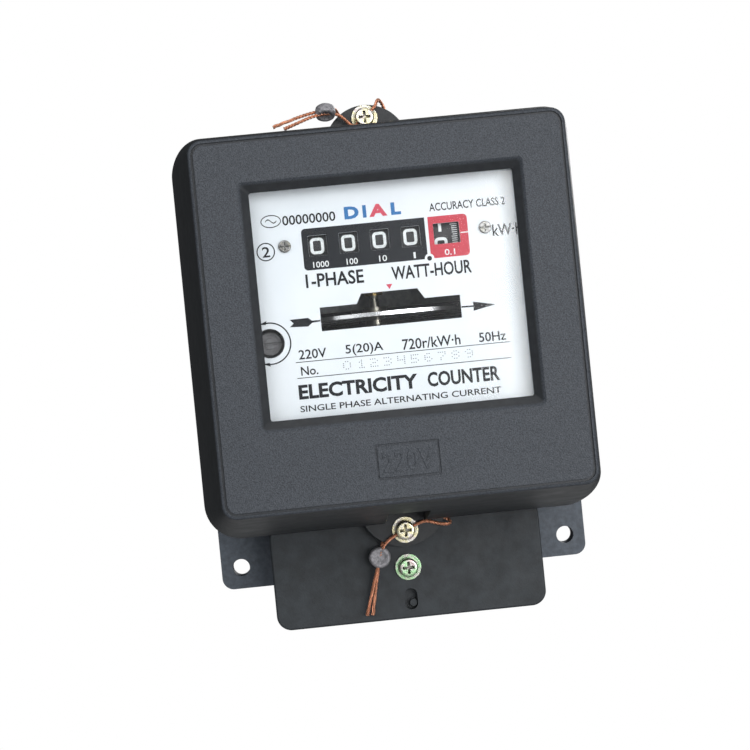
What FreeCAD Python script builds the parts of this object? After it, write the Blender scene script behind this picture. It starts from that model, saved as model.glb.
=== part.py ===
import FreeCAD, Part
import math
import os

import Sketcher
from FreeCAD import Placement, Rotation, Vector

# A single-phase dial electricity meter, made as separate pieces, in millimetres.
#
# Frame: +X is to the right and +Z is up as the meter hangs, and +Y goes into the wall.
# The origin is on the wall plane, behind the centre of the square front plate. A piece
# is placed by its height in front of the wall, so that y = -height.

DIMENSIONS = {
    # moulded front cover
    "front_height": 113.0,
    "plate_half": 55.0,
    "rim_half": 56.7,
    "rim_radius": 4.5,
    "mid_height": 80.0,
    "mid_half": 61.9,
    "flange_half": 66.0,
    "flange_half_tall": 66.5,
    "flange_centre": -1.0,
    "flange_radius": 12.0,
    "flange_front": 45.3,
    "cover_back": 42.0,
    "cover_wall": 3.0,
    "ledge_height": 47.5,
    "skirt_half": 63.2,
    # window
    "window_half_wide": 39.7,
    "window_half_tall": 34.3,
    "window_centre": 5.6,
    "window_bevel": 3.2,
    "bevel_depth": 2.6,
    "glass_thickness": 2.0,
    # base
    "base_half": 62.9,
    "base_wall": 2.5,
    "base_floor": 3.0,
    "base_rim": 46.0,
    "apron_thickness": 8.0,
    "apron_half": 64.5,
    "apron_bottom": -88.0,
    "ear_spacing": 115.0,
    "ear_hole_radius": 3.0,
    "ear_level": -80.6,
    # lugs that clamp the cover to the base
    "tab_back": 36.2,
    "tab_front": 39.2,
    "lower_screw_level": -70.6,
    "upper_screw_level": 68.7,
    "lower_tab_radius": 15.0,
    "lower_tab_centre": -61.2,
    "upper_tab_radius": 14.2,
    "upper_tab_centre": 59.0,
    "post_radius": 4.4,
    "niche_half": 6.8,
    "niche_wall": 2.4,
    # sealing screws
    "screw_shank": 1.9,
    "screw_clearance": 2.2,
    "screw_flange": 4.4,
    "screw_dome": 3.2,
    "screw_dome_tall": 3.0,
    "wire_radius": 0.6,
    "wire_hole": 0.75,
    # terminal cover and block
    "terminal_half": 46.0,
    "terminal_bottom": -101.2,
    "terminal_top": -65.0,
    "terminal_front": 34.0,
    "terminal_wall": 2.0,
    "terminal_screw_level": -83.7,
    "block_half": 40.0,
    "block_front": 31.0,
    "block_bottom": -92.0,
    "cable_bore": 2.8,
    "barrel_bottom": -89.0,
    "barrel_top": -74.0,
    # rotor
    "rotor_x": -3.5,
    "rotor_height": 58.0,
    "disc_radius": 42.0,
    "disc_bottom": 0.1,
    "disc_thickness": 1.2,
    "spindle_radius": 1.6,
    # register
    "dial_back": 103.2,
    "dial_thickness": 0.8,
    "drum_height": 92.2,
    "drum_level": 22.9,
    "drum_radius": 10.0,
    "drum_width": 7.0,
    "drum_pitch": 9.45,
    "first_drum_x": -20.55,
    "register_shaft": 1.2,
    "wheel_height": 71.1,
    "wheel_level": 33.0,
    "running_gap": 0.05,
    # case of the magnets
    "frame_back": 44.0,
    "frame_front": 48.0,
    "core_back": 20.0,
    "core_front": 34.0,
}

GEAR_STEPS = {
    # name: (teeth, module)
    "worm_wheel": (60, 0.35),
    "wheel_pinion": (12, 0.4),
    "idler_wheel": (48, 0.4),
    "idler_pinion": (10, 0.6),
    "tenths_wheel": (30, 0.6),
    "carry_wheel": (20, 0.825),
    "carry_pinion": (8, 0.825),
}

AXES = {
    "up": Rotation(),
    "right": Rotation(Vector(0, 1, 0), 90),
    "front": Rotation(Vector(1, 0, 0), 90),
}

# places of posts, terminals and fixings, as (x, z) or as a level or an x
FRAME_POSTS = ((-47.0, 45.0), (41.0, 45.0), (-47.0, -41.0), (41.0, -41.0))
TERMINAL_PLACES = (-27.0, -9.0, 9.0, 27.0)
HANGER_SCREWS = (36.8, 57.4)
# direction of the drilled hole through each cover screw, in x and z
WIRE_WAYS = {"lower": (0.924, 0.383), "upper": (0.766, 0.643)}
SCREW_LEVELS = (-85.6, -77.8)
CORE_SCREWS = ((-29.5, 32.0), (22.5, 32.0), (-15.5, -40.0), (8.5, -40.0))
REGISTER_SCREWS = ((-20.0, 48.9), (17.5, 48.9))
BRAKE_SCREWS = ((-42.0, 11.0), (-42.0, -9.0))
LEVER_PIVOT = (-20.0, 12.0)
ADJUSTER = (-37.8, -5.3)
DRUM_NAMES = ("drum_thousands", "drum_hundreds", "drum_tens", "drum_units", "drum_tenths")
TENTHS_RIGHT = 22.3
GEAR_GAP = 0.175
DIAL_SCREWS = (30.5, 23.5)
# Points of each sealing wire, as (x, height in front of the wall, z).
WIRE_ROUTES = {
    "lower_seal_wire_a": [
        (3.1, 35.1, -67.0),
        (7.5, 35.1, -66.6),
        (12.2, 35.1, -67.3),
        (15.7, 35.9, -69.0),
        (15.4, 39.6, -70.3),
        (11.4, 41.3, -69.6),
        (7.2, 41.1, -67.9),
        (3.7, 40.9, -69.07),
        (-3.7, 40.9, -72.13),
        (-6.2, 40.7, -73.6),
        (-7.9, 39.7, -75.4),
        (-9.0, 39.0, -78.0),
        (-10.4, 38.7, -82.4),
        (-12.1, 38.3, -87.4),
        (-13.8, 37.8, -92.8),
        (-15.5, 37.3, -98.4),
    ],
    "lower_seal_wire_b": [
        (-3.1, 35.1, -67.0),
        (-5.8, 35.1, -67.2),
        (-7.1, 35.1, -69.9),
        (-7.4, 35.1, -73.2),
        (-8.5, 36.2, -76.4),
        (-9.7, 37.2, -80.4),
        (-10.9, 37.0, -85.8),
        (-12.3, 36.8, -91.8),
        (-13.6, 36.4, -98.5),
    ],
    "upper_seal_wire_a": [
        (3.1, 33.0, 65.1),
        (6.2, 33.0, 65.4),
        (7.8, 33.2, 68.6),
        (7.2, 33.8, 72.6),
        (5.7, 36.4, 74.8),
        (4.9, 39.6, 74.4),
        (3.9, 40.9, 71.97),
        (-2.6, 40.9, 66.52),
        (-4.6, 41.2, 66.1),
        (-6.6, 42.3, 68.4),
        (-9.2, 44.0, 70.4),
        (-13.2, 44.7, 70.8),
        (-17.8, 45.2, 70.0),
        (-22.6, 45.5, 68.3),
        (-27.3, 45.6, 66.7),
    ],
    "upper_seal_wire_b": [
        (-3.1, 33.0, 65.1),
        (-6.2, 33.0, 65.6),
        (-7.9, 33.2, 70.2),
        (-8.9, 34.8, 72.4),
        (-9.7, 38.2, 72.9),
        (-10.9, 41.2, 72.6),
        (-13.4, 42.9, 72.0),
        (-17.9, 43.4, 71.5),
        (-24.0, 43.7, 70.0),
        (-30.9, 43.9, 67.9),
    ],
}

doc = FreeCAD.newDocument("dial_meter")
sheet = doc.addObject("Spreadsheet::Sheet", "Dims")
pieces = {}
serial = {}


class Size:
    """A length, with the spreadsheet expression that gives it."""

    def __init__(self, text, value):
        self.text = text
        self.value = value

    def __add__(self, other):
        other = size(other)
        return Size(f"({self.text} + {other.text})", self.value + other.value)

    def __sub__(self, other):
        other = size(other)
        return Size(f"({self.text} - {other.text})", self.value - other.value)

    def __mul__(self, factor):
        return Size(f"({self.text} * {factor})", self.value * factor)

    def __neg__(self):
        return Size(f"(0 - {self.text})", -self.value)

    def __radd__(self, other):
        return size(other) + self

    def __rsub__(self, other):
        return size(other) - self

    def __float__(self):
        return float(self.value)


def size(value):
    """value as a Size: a plain number becomes a constant."""
    if isinstance(value, Size):
        return value
    return Size(f"({float(value)!r})", float(value))


class Cells:
    """Reads the driving dimensions as Sizes: cells.plate_half and so on."""

    def __getattr__(self, name):
        return Size(f"Dims.{name}", float(sheet.get(name)))


cells = Cells()


def fill_sheet():
    for row, (name, value) in enumerate(DIMENSIONS.items(), start=1):
        sheet.set(f"A{row}", name)
        sheet.set(f"B{row}", str(value))
        sheet.setAlias(f"B{row}", name)
    doc.recompute()


def unique(name):
    serial[name] = serial.get(name, 0) + 1
    return f"{name}_{serial[name]:02d}"


def bind(thing, **sizes):
    """Binds properties of a document object to the sheet."""
    for prop, value in sizes.items():
        thing.setExpression(prop, size(value).text)


def put(thing, x, height, z):
    """Binds the position of a document object."""
    for axis, value in (("x", x), ("y", -size(height)), ("z", z)):
        thing.setExpression(f"Placement.Base.{axis}", size(value).text)
    return thing


def box(x, height, z):
    """A block between two x, two heights in front of the wall and two levels."""
    block = doc.addObject("Part::Box", unique("block"))
    bind(block, Length=size(x[1]) - x[0], Width=size(height[1]) - height[0], Height=size(z[1]) - z[0])
    return put(block, x[0], height[1], z[0])


def rod(axis, radius, length, x, height, z):
    """A cylinder from a start point, up, right or front."""
    cylinder = doc.addObject("Part::Cylinder", unique("rod"))
    cylinder.Placement = Placement(Vector(), AXES[axis])
    bind(cylinder, Radius=radius, Height=length)
    return put(cylinder, x, height, z)


def cone(axis, first, last, length, x, height, z):
    """A truncated cone from a start point."""
    taper = doc.addObject("Part::Cone", unique("cone"))
    taper.Placement = Placement(Vector(), AXES[axis])
    bind(taper, Radius1=first, Radius2=last, Height=length)
    return put(taper, x, height, z)


def join(*parts):
    whole = doc.addObject("Part::MultiFuse", unique("join"))
    whole.Shapes = list(parts)
    return whole


def cut(base, *tools):
    removed = tools[0] if len(tools) == 1 else join(*tools)
    result = doc.addObject("Part::Cut", unique("cut"))
    result.Base = base
    result.Tool = removed
    return result


def common(*parts):
    shared = doc.addObject("Part::MultiCommon", unique("common"))
    shared.Shapes = list(parts)
    return shared


def apart(*parts):
    """Separate solids that share one node."""
    several = doc.addObject("Part::Compound", unique("apart"))
    several.Links = list(parts)
    return several


def solid(shape, name):
    """A shape made with Part's own functions, as a document object."""
    feature = doc.addObject("Part::Feature", unique(name))
    feature.Shape = shape
    return feature


def piece(name, thing):
    """Gives a sub-part its name."""
    thing.Label = name
    pieces[name] = thing
    return thing


def outline(half_wide, half_tall, radius, height, centre_x=0.0, centre_z=0.0):
    """A sketch of a rounded rectangle that faces the front, at a height above the wall."""
    sketch = doc.addObject("Sketcher::SketchObject", unique("outline"))
    sketch.Placement = Placement(Vector(), AXES["front"])
    w, v, r = float(half_wide), float(half_tall), float(radius)
    corners = [(w - r, r - v, -90), (w - r, v - r, 0), (r - w, v - r, 90), (r - w, r - v, 180)]
    runs = [
        ((r - w, -v), (w - r, -v)),
        ((w, r - v), (w, v - r)),
        ((w - r, v), (r - w, v)),
        ((-w, v - r), (-w, r - v)),
    ]
    for start, end in runs:
        sketch.addGeometry(Part.LineSegment(Vector(*start, 0), Vector(*end, 0)), False)
    for x, z, start in corners:
        circle = Part.Circle(Vector(x, z, 0), Vector(0, 0, 1), r)
        arc = Part.ArcOfCircle(circle, math.radians(start), math.radians(start + 90))
        sketch.addGeometry(arc, False)
    for side in range(4):
        sketch.addConstraint(Sketcher.Constraint("Tangent", side, 2, side + 4, 1))
        sketch.addConstraint(Sketcher.Constraint("Tangent", side + 4, 2, (side + 1) % 4, 1))
    for side, direction in enumerate(("Horizontal", "Vertical", "Horizontal", "Vertical")):
        sketch.addConstraint(Sketcher.Constraint(direction, side))
    for corner in (5, 6, 7):
        sketch.addConstraint(Sketcher.Constraint("Equal", 4, corner))
    sketch.addConstraint(Sketcher.Constraint("Symmetric", 0, 1, 2, 1, -1, 1))
    driving = [
        (Sketcher.Constraint("Radius", 4, r), size(radius)),
        (Sketcher.Constraint("DistanceX", 0, 1, 0, 2, 2 * (w - r)), (size(half_wide) - radius) * 2),
        (Sketcher.Constraint("DistanceY", 1, 1, 1, 2, 2 * (v - r)), (size(half_tall) - radius) * 2),
    ]
    for constraint, value in driving:
        index = sketch.addConstraint(constraint)
        sketch.setExpression(f"Constraints[{index}]", value.text)
    return put(sketch, centre_x, height, centre_z)


def slab(half_wide, half_tall, radius, heights, centre_x=0.0, centre_z=0.0):
    """A plate with a rounded rectangular outline, between two heights."""
    sketch = outline(half_wide, half_tall, radius, heights[0], centre_x, centre_z)
    plate = doc.addObject("Part::Extrusion", unique("slab"))
    plate.Base = sketch
    plate.DirMode = "Normal"
    plate.Solid = True
    bind(plate, LengthFwd=size(heights[1]) - heights[0])
    return plate


def loft(*sketches, ruled=False):
    through = doc.addObject("Part::Loft", unique("loft"))
    through.Sections = list(sketches)
    through.Solid = True
    through.Ruled = ruled
    return through


def prism(axis, start, length, points):
    """A straight prism of a closed outline.

    axis front: points are (x, z) and start is a height. axis right: points are (height, z)
    and start is an x. axis up: points are (x, height) and start is a level.
    """
    place = {
        "front": lambda a, b: Vector(a, -start, b),
        "right": lambda a, b: Vector(start, -a, b),
        "up": lambda a, b: Vector(a, -b, start),
    }[axis]
    along = {"front": Vector(0, -length, 0), "right": Vector(length, 0, 0), "up": Vector(0, 0, length)}[axis]
    corners = [place(a, b) for a, b in points]
    face = Part.Face(Part.makePolygon(corners + corners[:1]))
    return solid(face.extrude(along), "prism")


def softened(thing, radius, chosen):
    """Rounds the edges that `chosen` picks by their middle point and direction."""
    doc.recompute()
    edges = []
    for number, edge in enumerate(thing.Shape.Edges, start=1):
        middle = edge.valueAt((edge.FirstParameter + edge.LastParameter) / 2)
        if chosen(edge, middle):
            edges.append((number, float(radius), float(radius)))
    rounded = doc.addObject("Part::Fillet", unique("softened"))
    rounded.Base = thing
    rounded.Edges = edges
    return rounded


def at_height(height, tolerance=0.01):
    """Picks the edges that lie wholly at one height in front of the wall."""

    def chosen(edge, middle):
        return all(abs(-v.Point.y - float(height)) < tolerance for v in edge.Vertexes)

    return chosen


# ------------------------------------------------------------------ gears


def gear_shape(name, width, tooth_angle, bore=None):
    """A spur gear along +X at the origin, with the middle of one tooth at tooth_angle.

    The angle is in radians about +X from +Y towards +Z. Teeth have straight flanks and
    enough backlash to run freely.
    """
    teeth, module = GEAR_STEPS[name]
    pitch_radius = teeth * module / 2
    tip = pitch_radius + 0.85 * module
    root = pitch_radius - 1.15 * module
    step = 2 * math.pi / teeth
    rising = [(root, -0.30), (pitch_radius, -0.205), (tip, -0.11)]
    flank = rising + [(radius, -share) for radius, share in reversed(rising)]
    points = []
    for tooth in range(teeth):
        for radius, share in flank:
            angle = tooth_angle + (tooth + share) * step
            points.append(Vector(0, radius * math.cos(angle), radius * math.sin(angle)))
    blank = Part.Face(Part.makePolygon(points + points[:1])).extrude(Vector(width, 0, 0))
    if bore:
        blank = blank.cut(Part.makeCylinder(bore, width, Vector(), Vector(1, 0, 0)))
    return blank


def gear_radius(name):
    teeth, module = GEAR_STEPS[name]
    return teeth * module / 2


def half_step(name):
    """Half the angle from one tooth to the next."""
    return math.pi / GEAR_STEPS[name][0]


def idler_axis():
    """(height, level) of the idler shaft, in mesh with the wheel shaft and the tenths drum."""
    drum = (float(cells.drum_height), float(cells.drum_level))
    wheel = (float(cells.wheel_height), float(cells.wheel_level))
    to_wheel = gear_radius("wheel_pinion") + gear_radius("idler_wheel")
    to_drum = gear_radius("idler_pinion") + gear_radius("tenths_wheel")
    span = math.dist(drum, wheel)
    along = (to_drum**2 - to_wheel**2 + span**2) / (2 * span)
    aside = math.sqrt(to_drum**2 - along**2)
    unit = ((wheel[0] - drum[0]) / span, (wheel[1] - drum[1]) / span)
    return (drum[0] + unit[0] * along + unit[1] * aside, drum[1] + unit[1] * along - unit[0] * aside)


def angle_to(start, end):
    """Angle about +X, from +Y towards +Z, from one (height, level) axis to another."""
    return math.atan2(end[1] - start[1], -(end[0] - start[0]))


def moved(shape, x, height, z):
    shape.translate(Vector(x, -height, z))
    return shape


# ------------------------------------------------------------------ case


def cover_shell():
    """The flared box of the front cover with its cavity, before window and lugs."""
    rim_back = cells.front_height - cells.cover_wall
    low_centre = cells.flange_centre
    mid_centre = low_centre * 0.5
    skirt_inside = cells.skirt_half - 1.6
    outer = loft(
        outline(cells.rim_half + 0.2, cells.rim_half + 0.2, cells.rim_radius, rim_back),
        outline(cells.mid_half, cells.mid_half + 0.2, 8.0, cells.mid_height, 0, mid_centre),
        outline(cells.flange_half, cells.flange_half_tall, cells.flange_radius, cells.flange_front, 0, low_centre),
    )
    front = slab(cells.rim_half + 0.2, cells.rim_half + 0.2, cells.rim_radius, (rim_back, cells.front_height))
    front = softened(front, 1.3, at_height(cells.front_height))
    flange = slab(
        cells.flange_half,
        cells.flange_half_tall,
        cells.flange_radius,
        (cells.cover_back, cells.flange_front),
        0,
        low_centre,
    )
    flange = softened(flange, 0.8, at_height(cells.cover_back))
    cavity = loft(
        outline(cells.rim_half - 2.7, cells.rim_half - 2.7, 3.0, rim_back),
        outline(cells.mid_half - 3.2, cells.mid_half - 3.0, 6.0, cells.mid_height, 0, mid_centre),
        outline(skirt_inside, skirt_inside, 8.5, cells.ledge_height, 0, low_centre),
    )
    skirt_heights = (cells.cover_back - 1, cells.ledge_height)
    skirt = slab(cells.skirt_half, cells.skirt_half, 9.6, skirt_heights, 0, low_centre)
    return join(outer, front, flange), join(cavity, skirt)


def lug_side(upper):
    """The numbers that differ between the lower and the upper lug."""
    if upper:
        return 1, cells.upper_screw_level, cells.upper_tab_radius, cells.upper_tab_centre
    return -1, cells.lower_screw_level, cells.lower_tab_radius, cells.lower_tab_centre


def span(first, second):
    """Two levels, lowest first."""
    return (first, second) if float(first) < float(second) else (second, first)


def cover_lug(upper):
    """(niche to remove, walls that stay round it, tab and ribs to add) of one cover lug."""
    side, screw, radius, centre = lug_side(upper)
    floor = cells.flange_centre + (cells.base_half - 2.1) * side
    inner = floor - cells.niche_wall * side
    outer = cells.flange_centre + (cells.flange_half_tall + 14.0) * side
    half = cells.niche_half
    niche = box((-half, half), (cells.tab_front, cells.front_height - 9.0), span(floor, outer))
    keep_half = half + cells.niche_wall
    keep = box((-keep_half, keep_half), (cells.tab_back - 3.0, cells.front_height - 3.0), span(inner, outer))
    outside = cells.flange_centre + (cells.base_half + 0.3) * side
    seat_heights = (cells.tab_back, cells.cover_back + 0.5)
    seat = box((-keep_half, keep_half), seat_heights, span(inner, outside + 1.0 * side))
    disc = rod("front", radius, cells.tab_front - cells.tab_back, 0, cells.tab_back, centre)
    disc = common(disc, box((-20, 20), (cells.tab_back, cells.tab_front), span(outside, outer)))
    rib_end = cells.flange_centre + (cells.flange_half_tall - 0.2) * side
    ribs = [
        box(x, (cells.tab_back, cells.flange_front), span(floor, rib_end))
        for x in ((-keep_half, -half), (half, keep_half))
    ]
    hole = rod("front", cells.screw_clearance, 8.0, 0, cells.tab_back - 2.0, screw)
    return niche, keep, join(seat, disc, *ribs), hole


def front_cover():
    shell, cavity = cover_shell()
    lower = cover_lug(False)
    upper = cover_lug(True)
    hollow = cut(cavity, lower[1], upper[1])
    body = join(cut(shell, hollow), lower[2], upper[2])
    centre = cells.window_centre
    bevel_back = cells.front_height - cells.bevel_depth
    bevel = loft(
        outline(cells.window_half_wide, cells.window_half_tall, 0.8, bevel_back, 0, centre),
        outline(
            cells.window_half_wide + cells.window_bevel,
            cells.window_half_tall + cells.window_bevel,
            1.2,
            cells.front_height + 0.01,
            0,
            centre,
        ),
        ruled=True,
    )
    opening = slab(
        cells.window_half_wide,
        cells.window_half_tall,
        0.8,
        (cells.front_height - cells.cover_wall - 1.0, bevel_back + 0.01),
        0,
        centre,
    )
    groove_heights = (cells.front_height - 0.7, cells.front_height + 1.0)
    groove = cut(
        slab(cells.plate_half + 0.75, cells.plate_half + 0.75, 3.6, groove_heights),
        slab(cells.plate_half, cells.plate_half, 3.0, groove_heights),
    )
    badge_heights = (cells.front_height - 0.45, cells.front_height + 1.0)
    badge = cut(
        slab(9.6, 5.3, 0.6, badge_heights, 0, -43.9),
        slab(9.0, 4.7, 0.4, badge_heights, 0, -43.9),
    )
    body = cut(body, lower[0], upper[0], lower[3], upper[3], bevel, opening, groove, badge)
    stakes = []
    for x in (-1, 1):
        for z in (-1, 1):
            place = (44.8 * x, cells.front_height - cells.cover_wall - 4.4, centre + 39.2 * z)
            stakes.append(rod("front", 1.3, 4.6, *place))
            stakes.append(rod("front", 2.2, 0.8, *place))
    piece("front_cover", join(body, *stakes))


def window():
    """Gasket, glass and its retaining frame, behind the opening."""
    gasket_front = cells.front_height - cells.cover_wall
    glass_front = gasket_front - 0.6
    glass_back = glass_front - cells.glass_thickness
    centre = cells.window_centre

    def ring(outer, inner, heights):
        return cut(
            slab(cells.window_half_wide + outer, cells.window_half_tall + outer, 2.0, heights, 0, centre),
            slab(cells.window_half_wide + inner, cells.window_half_tall + inner, 1.0, heights, 0, centre),
        )

    piece("window_gasket", ring(3.4, 0.5, (glass_front, gasket_front)))
    piece(
        "window_glass",
        slab(
            cells.window_half_wide + 3.0,
            cells.window_half_tall + 3.0,
            1.5,
            (glass_back, glass_front),
            0,
            centre,
        ),
    )
    holes = [
        rod("front", 1.4, 3.0, 44.8 * x, glass_back - 2.0, centre + 39.2 * z)
        for x in (-1, 1)
        for z in (-1, 1)
    ]
    piece("window_retainer", cut(ring(7.2, 1.8, (glass_back - 1.0, glass_back)), *holes))


def base():
    """The moulded base: a tray, an apron with two ears, and posts for what it carries."""
    centre = cells.flange_centre
    inner = cells.base_half - cells.base_wall
    tray = slab(cells.base_half, cells.base_half, 9.3, (0, cells.base_rim), 0, centre)
    hollow = slab(inner, inner, 6.8, (cells.base_floor, cells.base_rim + 1.0), 0, centre)
    apron_middle = (cells.apron_bottom + -60.0) * 0.5
    apron_half_tall = (-60.0 - cells.apron_bottom) * 0.5
    apron = slab(cells.apron_half, apron_half_tall, 4.0, (0, cells.apron_thickness), 0, apron_middle)
    foot = slab(cells.block_half + 2.0, 6.0, 2.0, (0, cells.apron_thickness), 0, -86.0)
    top = rod("front", cells.upper_tab_radius, cells.apron_thickness, 0, 0, cells.upper_tab_centre)
    post_length = cells.frame_back - cells.base_floor - 4.0
    posts = [rod("front", 4.5, post_length, x, cells.base_floor, z) for x, z in FRAME_POSTS]
    boss = box((-10.5, 10.5), (0.5, 8.5), (33.0, 60.0))
    added = [tray, apron, foot, top]
    removed = []
    for upper in (False, True):
        side, screw, radius, _ = lug_side(upper)
        wall = centre + (cells.base_half - 0.5) * side
        added.append(rod("front", cells.post_radius, cells.tab_back, 0, 0, screw))
        added.append(box((-3, 3), (0, cells.tab_back - 1.0), span(wall, screw)))
        removed.append(rod("front", 2.8, 10.5, 0, cells.tab_back - 10.0, screw))
        removed.append(rod("front", 2.1, 14.0, 0, cells.tab_back - 13.0, screw))
        inward = centre + (cells.base_half - 4.8) * side
        notch_half = cells.niche_half + cells.niche_wall + 0.3
        notch_heights = (cells.tab_back - 0.2, cells.base_rim + 1.0)
        removed.append(
            box((-notch_half, notch_half), notch_heights, span(inward, wall + 1.0 * side))
        )
        wire_level, wire_height = (screw - 3.6, 33.0) if upper else (screw + 3.6, 35.1)
        removed.append(rod("right", cells.wire_hole, 12.0, -6.0, wire_height, wire_level))
    for x in (-1, 1):
        ear = cells.ear_spacing * (0.5 * x)
        removed.append(rod("front", cells.ear_hole_radius, 12.0, ear, -1.0, cells.ear_level))
    for x in TERMINAL_PLACES:
        removed.append(box((x - 2.4, x + 2.4), (16.6, 19.4), (-66.0, -60.0)))
    shell = cut(join(*added), hollow)
    back = [
        slab(12.1, 13.1, 2.1, (-1.0, 1.55), 0, 47.0),
        slab(8.0, 7.0, 3.0, (0.0, 6.5), 0, 47.0),
        rod("front", 1.1, 7.0, 0, 0, 36.8),
        rod("front", 1.1, 7.0, 0, 0, 57.4),
    ]
    screw_holes = [rod("front", 1.7, 14.0, x, cells.frame_back - 16.0, z) for x, z in FRAME_POSTS]
    piece("base", cut(join(shell, *posts, boss), *removed, *back, *screw_holes))


def cover_gasket():
    heights = (cells.base_rim, cells.ledge_height)
    outer = slab(cells.base_half, cells.base_half, 9.3, heights, 0, cells.flange_centre)
    inner = slab(cells.base_half - 2.3, cells.base_half - 2.3, 7.0, heights, 0, cells.flange_centre)
    gap_half = cells.niche_half + cells.niche_wall + 0.3
    gap = box((-gap_half, gap_half), (cells.base_rim - 1.0, cells.ledge_height + 1.0), (-70, 70))
    piece("cover_gasket", cut(outer, inner, gap))


def hanger():
    """A steel keyhole plate let into the back of the base, and its two screws."""
    plate = slab(12.0, 13.0, 2.0, (0, 1.5), 0, 47.0)
    entry = rod("front", 4.5, 3.0, 0, -1.0, 43.5)
    slot = box((-2.3, 2.3), (-1.0, 2.0), (43.5, 50.5))
    slot_end = rod("front", 2.3, 3.0, 0, -1.0, 50.5)
    sinks = [cone("front", 2.4, 1.2, 1.5, 0, 0, z) for z in HANGER_SCREWS]
    piece("hanger_plate", cut(plate, entry, slot, slot_end, *sinks))
    screws = []
    for z in HANGER_SCREWS:
        head = cone("front", 2.35, 1.15, 1.5, 0, 0, z)
        shank = rod("front", 1.0, 5.0, 0, 1.2, z)
        screws.append(cut(join(head, shank), box((-2, 2), (-0.5, 0.5), (z - 0.3, z + 0.3))))
    piece("hanger_screws", apart(*screws))


def inserts():
    """Brass inserts with the threads of the two cover screws and the terminal cover screw."""
    made = []
    for screw in (cells.lower_screw_level, cells.upper_screw_level):
        body = rod("front", 2.78, 10.0, 0, cells.tab_back - 10.0, screw)
        made.append(cut(body, rod("front", cells.screw_shank, 12.0, 0, cells.tab_back - 11.0, screw)))
    body = rod("front", 2.78, 10.0, 0, cells.block_front - 10.0, cells.terminal_screw_level)
    bore = rod("front", cells.screw_shank, 12.0, 0, cells.block_front - 11.0, cells.terminal_screw_level)
    made.append(cut(body, bore))
    piece("threaded_inserts", apart(*made))


def sealing_screw(seat, level, drilled):
    """A flanged pan-head screw; a drilled one takes a sealing wire through its head."""
    flange = rod("front", cells.screw_flange, 0.8, 0, seat, level)
    dome = rod("front", cells.screw_dome, cells.screw_dome_tall, 0, seat + 0.8, level)
    dome = softened(dome, 0.8, at_height(seat + 0.8 + cells.screw_dome_tall))
    shank = rod("front", cells.screw_shank - 0.02, 11.0, 0, seat - 11.0, level)
    top = seat + 0.8 + cells.screw_dome_tall
    cross = [
        box((-2.0, 2.0), (top - 1.3, top + 1.0), (level - 0.45, level + 0.45)),
        box((-0.45, 0.45), (top - 1.3, top + 1.0), (level - 2.0, level + 2.0)),
    ]
    if drilled:
        way = WIRE_WAYS[drilled]
        start = Vector(-6 * way[0], -float(seat) - 1.7, float(level) - 6 * way[1])
        cross.append(solid(Part.makeCylinder(0.72, 12, start, Vector(way[0], 0, way[1])), "wire_way"))
    return cut(join(flange, dome, shank), *cross)


def screws():
    lower = sealing_screw(cells.tab_front, cells.lower_screw_level, "lower")
    upper = sealing_screw(cells.tab_front, cells.upper_screw_level, "upper")
    piece("cover_screws", apart(lower, upper))
    piece("terminal_cover_screw", sealing_screw(cells.terminal_front, cells.terminal_screw_level, None))


def terminal_cover():
    """A hood over the terminals, open below for the cables."""
    half = cells.terminal_half
    wall = cells.terminal_wall
    front = cells.terminal_front
    middle = (cells.terminal_bottom + cells.terminal_top) * 0.5
    half_tall = (cells.terminal_top - cells.terminal_bottom) * 0.5
    face = slab(half, half_tall, 5.0, (front - wall, front), 0, middle)
    face = softened(face, 0.7, at_height(front))
    sides = []
    side_foot = cells.terminal_bottom + 5.0
    for x in ((-half, wall - half), (half - wall, half)):
        sides.append(box(x, (cells.apron_thickness + 0.2, front - wall), (side_foot, cells.terminal_top)))
        sides.append(box(x, (1.0, front - wall), (side_foot, cells.apron_bottom - 4.3)))
    roof = box((-half, half), (22.0, front - wall), (cells.terminal_top - wall, cells.terminal_top))
    boss = rod("front", 4.5, 1.5, 0, cells.block_front, cells.terminal_screw_level)
    backing = slab(4.2, 5.4, 2.0, (front - 4.6, front - wall + 0.5), 0, -94.6)
    notch = rod("front", cells.post_radius + 0.5, 40.0, 0, 0, cells.lower_screw_level)
    notch_top = box((-4.9, 4.9), (0, 40), (cells.lower_screw_level, cells.terminal_top + 1.0))
    hole = rod("front", cells.screw_clearance, 10.0, 0, cells.block_front - 1.0, cells.terminal_screw_level)
    recess = slab(2.15, 3.55, 2.1, (front - 3.4, front + 1.0), 0, -94.6)
    body = cut(join(face, *sides, roof, boss, backing), notch, notch_top, hole, recess)
    pin = rod("front", 1.25, 2.6, 0.75, front - 3.6, -96.0)
    piece("terminal_cover", join(body, pin))


def terminal_block():
    """The moulded block, with pockets for the barrels and wells for the screws."""
    back = cells.apron_thickness
    front = cells.block_front
    block = box((-cells.block_half, cells.block_half), (back, front), (cells.block_bottom, -67.2))
    removed = [
        rod("front", cells.post_radius + 0.3, 40.0, 0, 0, cells.lower_screw_level),
        box((-4.7, 4.7), (0, 40), (cells.lower_screw_level, -60)),
        box((-4.8, 4.8), (28.8, 40), (-95, -88.8)),
        rod("front", 2.8, 12.0, 0, front - 10.0, cells.terminal_screw_level),
        rod("front", 2.1, 4.0, 0, front - 13.0, cells.terminal_screw_level),
    ]
    for x in TERMINAL_PLACES:
        barrel = (cells.barrel_bottom - 0.1, cells.barrel_top + 0.1)
        removed.append(box((x - 4.6, x + 4.6), (back - 1.0, 25.1), barrel))
        removed.append(box((x - 2.2, x + 2.2), (back - 1.0, 19.2), (-75.0, -66.0)))
        removed.append(rod("up", cells.cable_bore + 0.5, 8.0, x, 19.0, cells.block_bottom - 1.0))
        for z in SCREW_LEVELS:
            removed.append(rod("front", 3.6, 10.0, x, 25.0, z))
    piece("terminal_block", cut(block, *removed))


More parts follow.
